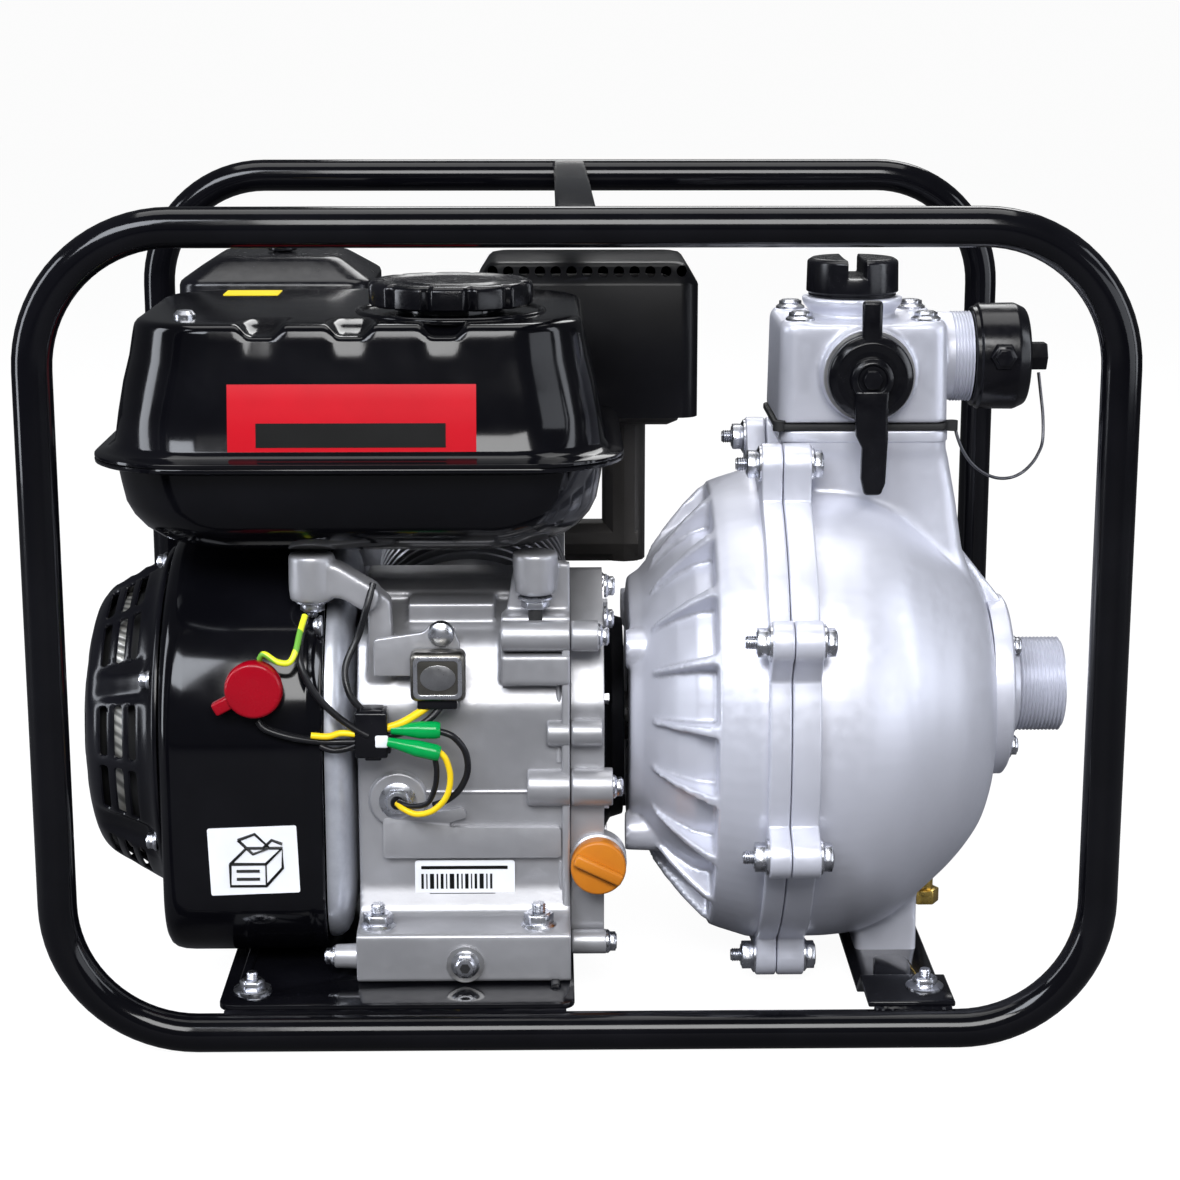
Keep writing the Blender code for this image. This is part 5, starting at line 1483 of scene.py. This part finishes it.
def pump_rear():
    """The rear casing: a cone with webs up to a stepped rim, four mount bosses, and the bolted flange."""
    place = Matrix.Translation((0, CRANK_Y, CASING_Z))
    outer = [
        (25, REAR_FACE, 0), (64, REAR_FACE, 3), (68, 32, 4), (77, 39.5, 6), (86, 48, 8), (93, 57, 6),
        (96.5, 66.2, 1),
    ]
    outer += [(112.4, 66.2, 1.6), (114.6, 72, 4), (119, 86, 8), (119, SPLIT_X, 0)]
    inner = [(113, SPLIT_X), (113, 88), (107, 73), (90, 72), (86, 60), (78, 50), (62, 33), (25, 32)]
    pieces = [turned("rear_shell", rounded(outer, 6, False) + inner, place @ X_AXIS, 96)]
    web = [
        (74, 36.0, 0.8), (80, 38.4, 1.1), (90, 45.4, 1.6), (101, 54.4, 2.1), (109, 62.2, 2.5), (112, 67, 2.7),
        (94, 68, 2.7), (80, 50, 1.4),
    ]
    for index in range(20):
        turn = math.radians(82.5 + 18 * index)
        pieces.append(fin(f"casing_web_{index}", web, place @ Matrix.Rotation(turn, 4, "X")))
    for index in range(4):
        turn = math.pi / 4 + index * math.pi / 2
        y, z = CRANK_Y + 66 * math.cos(turn), CRANK_Z + 66 * math.sin(turn)
        boss = [(0, 24.0), (9.4, 24.0), (10, 38), (11.5, 58), (0, 58)]
        pieces.append(turned(f"casing_mount_{index}", boss, along_x(y, z), 36))
    stand_in(cast("rear_casing_casting", pieces, 1.2, 2), "silver_paint", "pump_rear_casing", 60)
    hole = circle(FLANGE_HOLE, (CRANK_Y, CASING_Z), 96)
    flange = prism("rear_flange", [flange_outline(), hole], REAR_FLANGE, SPLIT_X - 0.15, X_AXIS, 1.1, 3)
    dress(flange, "silver_paint")


def pump_front():
    """The domed front casing with its outlet neck, foot and port gussets, and the bolted flange."""
    place = Matrix.Translation((0, CRANK_Y, CASING_Z))
    left, wall = SPLIT_X + 0.3, 6.0
    line = [
        (CASING_RADIUS, left), (118.9, 118), (118.4, 128), (116.5, 140), (110.5, 155), (102.5, 166), (94, 176)
    ]
    line += [(85, 186), (75, 195), (64, 202.5), (52, 207)]
    dome = [(point.x, point.y) for point in smooth_line([(*pair, 0) for pair in line], 4)]
    hollow = [(radius - wall, at - wall * 0.7) for radius, at in dome[8:-6]]
    inner = [(30, 207), (30, 200), (44, 200)] + hollow[::-1] + [
        (CASING_RADIUS - wall, 116), (CASING_RADIUS - wall, left)
    ]
    pieces = [turned("front_shell", dome + inner, place @ X_AXIS, 96)]
    top = BLOCK_Z[0] - 3.7
    steps = (
        (190, (118, 202), (-86, -14), 10), (200, (118, 197), (-85, -15), 10), (216, (117, 191), (-85, -14), 9)
    )
    steps += (
        (240, (113, 187), (-85, -14), 8), (262, (106, 182.5), (-86, -13), 8),
        (267, (100.5, 181), (-87.5, -12.5), 8),
    )
    steps += ((top, (99.5, 181), (-88, -12), 8),)
    rings = [[(x, y, z) for x, y in rectangle(xs, ys, radius, 6, 4)] for z, xs, ys, radius in steps]
    pieces.append(loft("front_neck", rings))
    foot_low = span("pump_front_casing")[0].z
    pieces.append(block("front_foot", (141, 172), (-92, -12), (foot_low, 44), None, (1.0, 0.9)))
    for turn in (0.0, math.pi):
        gusset = [(60, 190, 11), (84, 175, 11), (84, 184, 10), (46, 214.5, 8), (38, 214.5, 8), (38, 200, 11)]
        matrix = Matrix.Translation((0, CRANK_Y, PORT_Z)) @ Matrix.Rotation(turn, 4, "X")
        pieces.append(fin(f"port_gusset_{turn:.0f}", gusset, matrix))
    stand_in(cast("front_casing_casting", pieces, 1.6, 4), "silver_paint", "pump_front_casing", 60)
    hole = circle(FLANGE_HOLE, (CRANK_Y, CASING_Z), 96)
    flange = prism("front_flange", [flange_outline(), hole], left, FRONT_FLANGE, X_AXIS, 1.1, 3)
    dress(flange, "silver_paint")
    rim = rectangle((BLOCK_X[0] + 1, BLOCK_X[1] + 0.4), grown(BLOCK_Y, 0.4), 8, 8)
    dress(prism("neck_rim", [rim], 270.5, BLOCK_Z[0] - 3.5, Z_AXIS, 1.0, 3), "silver_paint")


def suction():
    axis = along_x(CRANK_Y, PORT_Z)
    left, bore = span("suction_port")[0].x, 19.0
    profile = rounded(
        [(bore, left, 0), (46, left, 0), (46, 216, 1), (44, 217.4, 1), (27, 217.4, 2), (25.5, 223, 1)], 4,
        False,
    )
    at = 224.0
    while at < 245.0:
        profile += [(22.9, at), (23.9, at + 0.9)]
        at += 1.9
    profile += [(22.6, 246.2), (22.2, 247), (bore, 247)]
    stand_in(turned("suction_nipple", profile, axis, 96), "silver_paint", "suction_port", 30)
    for index in range(4):
        turn = math.pi / 4 + index * math.pi / 2
        hex_head(
            f"port_bolt_{index + 1}", (217.2, CRANK_Y + 36 * math.cos(turn), PORT_Z + 36 * math.sin(turn)),
            RIGHT, 4.6, 4.4, 6.6,
        )
    refined("suction_flap", "rubber", 0.8)
    refined("shaft_seal", "rubber", 0.8)
    place = middle("pump_drain_plug")
    drain = turned(
        "drain_plug_stem", [(0, 30), (4.6, 30), (4.6, 45), (0, 45)][::-1],
        Matrix.Translation((place.x, place.y, -4)), 28,
    )
    stand_in(drain, "brass", "pump_drain_plug")
    head = prism("drain_plug_head", [hexagon(8.0)], 23.2, 30.5, Z_AXIS, 0.0)
    head.data.transform(Matrix.Translation((place.x * MM, place.y * MM, 0)))
    dress(soften(head, 0.6, 2), "brass")


def casing_bolts():
    for index, angle in enumerate(lug_angles()):
        y, z = bolt_place(angle)
        nut = hex_head(f"casing_nut_{index + 1}", (REAR_FLANGE, y, z), LEFT, 6.4, 6.6, 8.8, 5.5)
        head = hex_head(f"casing_head_{index + 1}", (FRONT_FLANGE, y, z), RIGHT, 6.4, 5.6, 8.4)
        if index < 5:
            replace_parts(nut, f"casing_bolt_{index + 1}")
            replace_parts(head, f"casing_bolt_{index + 1}")
    for index, x in enumerate(BASE_BOLT_X):
        nut = hex_head(f"base_nut_{index + 1}", (x, -147, 45.4), UP, 6.6, 6.6, 8.6, 5.0)
        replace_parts(nut, f"engine_base_bolt_{index + 1}")
        hex_head(f"base_head_{index + 1}", (x, BASE_BOLT_Y[0], 18.3), DOWN, 5.6, 4.6, 8.2)
        hex_head(f"base_nut_{index + 3}", (x, BASE_BOLT_Y[1], 46.4), UP, 5.6, 5.4, 8.2, 8.0)
    hex_head("post_nut_left", (-126.5, -121.5, 201.0), DOWN, 5.4, 5.2, 8.0, 3.0)
    hex_head("post_bolt_fan", (-121.5, -129.5, 190), LEFT, 3.6, 3.4, 5.0)


def discharge():
    """The outlet block: a square body with a flared top collar, a front collar and a threaded side neck."""
    xs, ys, zs = BLOCK_X, BLOCK_Y, BLOCK_Z
    front, side = ys[0] - 6, xs[1] + 15
    steps = ((zs[0], 0, 8), (zs[1] - 4, -0.8, 8), (zs[1] - 1.2, -1.2, 8), (zs[1], -2.4, 7))
    rings = stacked(xs, ys, steps, 6, 4)
    top = upright(PRIMING_X, OUTLET_Y)
    collar = rounded(
        [
            (0, 318, 0), (24, 318, 0), (21.5, 329.0, 1), (20.6, 330.4, 1), (24.4, 335, 2),
            (25, zs[1] + 10, 0.5), (0, zs[1] + 10, 0),
        ],
        4, False,
    )
    crown = turned("block_crown", collar[::-1], top, 72)
    nose = turned(
        "block_nose", [(0, -4), (23.4, -4), (22.8, 4.5), (22.2, 5.8), (0, 5.8)][::-1],
        aim((OUTLET_X, ys[0], OUTLET_Z), FRONT), 72,
    )
    ring = [(0, xs[1] - 8), (22.5, xs[1] - 8), (21.8, xs[1] + 2), (21.6, side), (0, side)]
    neck = turned("block_neck", ring[::-1], along_x(OUTLET_Y, SIDE_Z), 72)
    pieces = [loft("block_body", rings), crown, nose, neck]
    spots = [(x, y) for x in (xs[0] + 11, xs[1] - 11) for y in (ys[0] + 11, ys[1] - 11)]
    for x, y in spots:
        pad = [(0, 300), (9.0, 300), (9.0, zs[1] + 0.4), (8.0, zs[1] + 1.2), (0, zs[1] + 1.2)]
        pieces.append(turned("block_pad", pad[::-1], upright(x, y), 32))
    casting = cast("discharge_casting", pieces, 1.1, 2)
    way = turned(
        "front_way", [(0, 0), (14, 0), (14, 30), (0, 30)][::-1], aim((OUTLET_X, front + 24, OUTLET_Z), FRONT),
        48,
    )
    side_way = turned(
        "side_way", [(0, 160), (15, 160), (15, 215), (0, 215)][::-1], along_x(OUTLET_Y, SIDE_Z), 48
    )
    top_way = turned("top_way", [(0, 310), (16, 310), (16, 350), (0, 350)][::-1], top, 48)
    carve(casting, way, side_way, top_way)
    stand_in(casting, "silver_paint", "discharge_block", 60)
    rings = []
    at = xs[1] + 5
    while at < side - 0.6:
        rings += [(21.6, at), (22.3, at + 0.6)]
        at += 1.5
    threads = turned(
        "side_neck_threads", [(20, xs[1] + 4), *rings, (20, side - 0.3)][::-1], along_x(OUTLET_Y, SIDE_Z), 72
    )
    dress(threads, "silver_paint", smooth=30)
    for index, (x, y) in enumerate(spots):
        hex_head(f"block_bolt_{index + 1}", (x, y, zs[1] + 1.2), UP, 5.2, 3.8, 7.2)
    low, high = span("discharge_gasket")
    outline = rectangle((low.x, high.x), (low.y, high.y), 7, 8)
    gasket = prism("outlet_gasket", [outline, circle(22, (145, OUTLET_Y), 48)], low.z, high.z, Z_AXIS, 0.9, 3)
    stand_in(gasket, "rubber", "discharge_gasket")
    for index, x in enumerate((xs[0] + 0.5, xs[1] + 1.5)):
        ear = [(0, low.z - 0.2), (3.0, low.z - 0.2), (3.0, high.z + 1.6), (0, high.z + 1.6)]
        dress(turned(f"gasket_ear_{index}", ear[::-1], upright(x, ys[0] + 1), 24), "rubber")


def outlet_caps():
    start = BLOCK_Y[0] - 6.3
    there = aim((OUTLET_X, start, OUTLET_Z), FRONT)
    disc = lathe(
        "front_cap_disc",
        [(0, 0, 0), (20.2, 0, 0.6), (20.5, 8.0, 2.4), (17.0, 10.6, 2), (13, 10.0, 1), (0, 10.0, 0)], there,
        72, 5,
    )
    hub = lathe(
        "front_cap_hub",
        [(0, 8, 0), (11.0, 8, 0), (10.2, 13.6, 1.5), (7.4, 15.0, 0.8), (6.6, 13.6, 0.5), (0, 13.6, 0)], there,
        48,
    )
    screw = prism("front_cap_screw", [hexagon(5.2)], 12.0, 15.9, Z_AXIS, 0.0)
    screw.data.transform(Matrix.Scale(MM, 4) @ there @ Matrix.Scale(1 / MM, 4))
    arm = rounded(
        [
            (-8.2, -5, 0), (8.2, -5, 0), (7.6, -18, 3), (8.0, -28, 2), (7.2, -50, 2), (5.0, -55.8, 2.5),
            (-3.0, -55.8, 2.0), (-4.6, -48, 2), (-4.4, -33, 2), (-7.4, -27, 3), (-8.2, -14, 3),
        ],
        4,
    )
    arm = [(OUTLET_X + x, OUTLET_Z + z) for x, z in arm]
    handle = prism("front_cap_arm", [arm], -start + 8.0, -start + 14.8, Y_AXIS, 1.6, 4)
    tab = block("front_cap_tab", (OUTLET_X - 4.8, OUTLET_X + 4.8), (start - 9.4, start - 3.5), (320, 341))
    pieces = [disc, hub, soften(screw, 0.5, 1), handle, soften(tab, 2.0, 4)]
    stand_in(joined("front_cap_moulding", pieces), "black_plastic", "front_outlet_cap", 40)
    ring = turned("front_cap_ring", [(20.6, -0.2), (22.2, -0.2), (22.0, 0.9), (20.6, 0.9)], there, 72)
    dress(ring, "bare_aluminium", "front_outlet_cap")

    side = along_x(OUTLET_Y, SIDE_Z)
    face, high = span("side_outlet_cap")[0].x, span("side_outlet_cap")[1].x
    corners = [
        (0, face, 0), (24.6, face, 1.0), (24.8, face + 2.2, 0.6), (26.2, face + 3.2, 1), (26.4, 217.6, 4),
        (23.6, 223.5, 3), (0, 223.5, 0),
    ]
    shell = lathe("side_cap_shell", corners, side, 72, 6)
    corners = [
        (0, 222.7, 0), (5.4, 222.7, 0), (5.4, 225.4, 0.4), (7.5, 226.0, 0.4), (7.5, high - 1.2, 0.8),
        (0, high, 0),
    ]
    knob = lathe("side_cap_knob", corners, side, 6)
    lug_seat = aim((209, OUTLET_Y - 25.6, SIDE_Z + 2.6), FRONT)
    lug = lathe(
        "side_cap_lug",
        [(0, 0, 0), (7.4, 0, 0), (6.2, 2.4, 1.0), (4.8, 3.0, 0.4), (4.2, 4.6, 0.6), (0, 5.0, 0)], lug_seat, 6,
    )
    stand_in(joined("side_cap_moulding", [shell, knob, lug]), "black_plastic", "side_outlet_cap", 36)

    low, high = span("priming_cap")
    top = upright(PRIMING_X, OUTLET_Y)
    shape = [
        (0, low.z, 0), (21.6, low.z, 0.6), (21.6, low.z + 1.6, 0.4), (22.7, low.z + 2.4, 0.6),
        (22.4, high.z - 1.5, 1.6), (20, high.z, 1.2), (0, high.z - 0.4, 0),
    ]
    cap = lathe("priming_cap_body", shape, top, 72, 5)
    carve(
        cap,
        block(
            "priming_slot", (PRIMING_X - 4.5, PRIMING_X + 4.5), (OUTLET_Y - 30, OUTLET_Y + 30),
            (high.z - 9, high.z + 5),
        ),
    )
    stand_in(soften(cap, 0.6, 2, 50), "black_plastic", "priming_cap", 40)


# ---------------------------------------------------------------- labels
def plaque(name, xs, zs, y, look, radius, thick, turn=0.0):
    """A thin plate on the control side, turned about Y."""
    outline = rectangle(xs, zs, radius, 4, 8)
    plate = prism(name, [outline], 0, thick, Y_AXIS, 0.0)
    center = Vector((sum(xs) / 2, 0, sum(zs) / 2)) * MM
    tilt = Matrix.Rotation(turn, 4, "Y")
    plate.data.transform(
        Matrix.Translation(center + Vector((0, y * MM, 0))) @ tilt @ Matrix.Translation(-center)
    )
    return dress(plate, look)


def tank_label(name, xs, zs, look, lift):
    """A thin decal that follows the tank's sloping front."""
    across, up = 40, 8
    bm = bmesh.new()
    grid = [
        [
            bm.verts.new((xs[0] + (xs[1] - xs[0]) * i / across, 0, zs[0] + (zs[1] - zs[0]) * j / up))
            for i in range(across + 1)
        ]
        for j in range(up + 1)
    ]
    for vert in bm.verts:
        vert.co.y = tank_front(vert.co.z) - lift
    for j in range(up):
        for i in range(across):
            bm.faces.new((grid[j][i], grid[j][i + 1], grid[j + 1][i + 1], grid[j + 1][i]))
    label = keep(name, bm)
    wall = label.modifiers.new("wall", "SOLIDIFY")
    wall.thickness = lift * MM
    bake(label)
    return dress(label, look)


def labels():
    tank_label("tank_label", (-160.5, -46.5), (276.5, 308.5), "label_red", 0.35)
    tank_label("tank_label_band", (-147.5, -60.5), (280, 291), "label_black", 0.6)
    drum = CRANK_Y - FAN_RADIUS
    plaque(
        "housing_label", (-176, -133.5), (63, 96.5), drum - 0.45, "label_white", 1.0, 0.3, math.radians(-2)
    )
    marks = (
        [(-162, 90), (-154, 93), (-147, 86), (-155, 83), (-162, 90)],
        [(-166, 78), (-166, 67), (-149, 67), (-149, 78), (-166, 78)],
        [(-149, 78), (-141, 86), (-141, 76), (-149, 67)],
        [(-166, 78), (-158, 86), (-141, 86)],
        [(-163, 74.5), (-152, 74.5)],
        [(-163, 70.5), (-152, 70.5)],
        [(-150, 86), (-146, 90), (-141, 88)],
    )
    for index, line in enumerate(marks):
        route = [(x, drum - 0.7, z) for x, z in line]
        dress(tube(f"housing_label_mark_{index}", route, 0.75, 8), "label_black")
    face = CASE_FRONT - 0.5
    plaque("case_label", (-79, -30.5), (52.5, 73.0), face + 0.2, "label_white", 1.5, 0.5)
    widths = (1.2, 0.6, 2.0, 0.8, 1.4, 0.6, 2.2, 1.0, 0.7, 1.6, 0.6, 1.2, 2.0, 0.7, 1.1)
    at = -76.0
    for index, width in enumerate(widths):
        plaque(
            f"case_label_bar_{index}", (at, at + width), (58.6, 66.2), face - 0.25, "label_black", 0.1, 0.25
        )
        at += width + 1.2
    for index, (xs, zs) in enumerate((((-76, -34), (68.6, 70.2)), ((-72, -40), (55.0, 56.4)))):
        plaque(f"case_label_line_{index}", xs, zs, face - 0.25, "label_black", 0.4, 0.25)
    sticker = prism(
        "tank_top_sticker", [rectangle((-178, -150), (-16, 6), 1, 4)], TANK_TOP + 0.1, TANK_TOP + 0.4, Z_AXIS,
        0.0,
    )
    dress(sticker, "label_yellow")


camera_and_light()
tether()
frame_tubes()
cross_plates()
tank()
fuel_cap()
fan_drum()
recoil_cover()
crankcase()
side_cover()
oil_parts()
alert_unit()
wiring()
engine_switch()
upper_engine()
moving_inside()
air_cleaner()
exhaust()
pump_rear()
pump_front()
suction()
casing_bolts()
discharge()
outlet_caps()
labels()
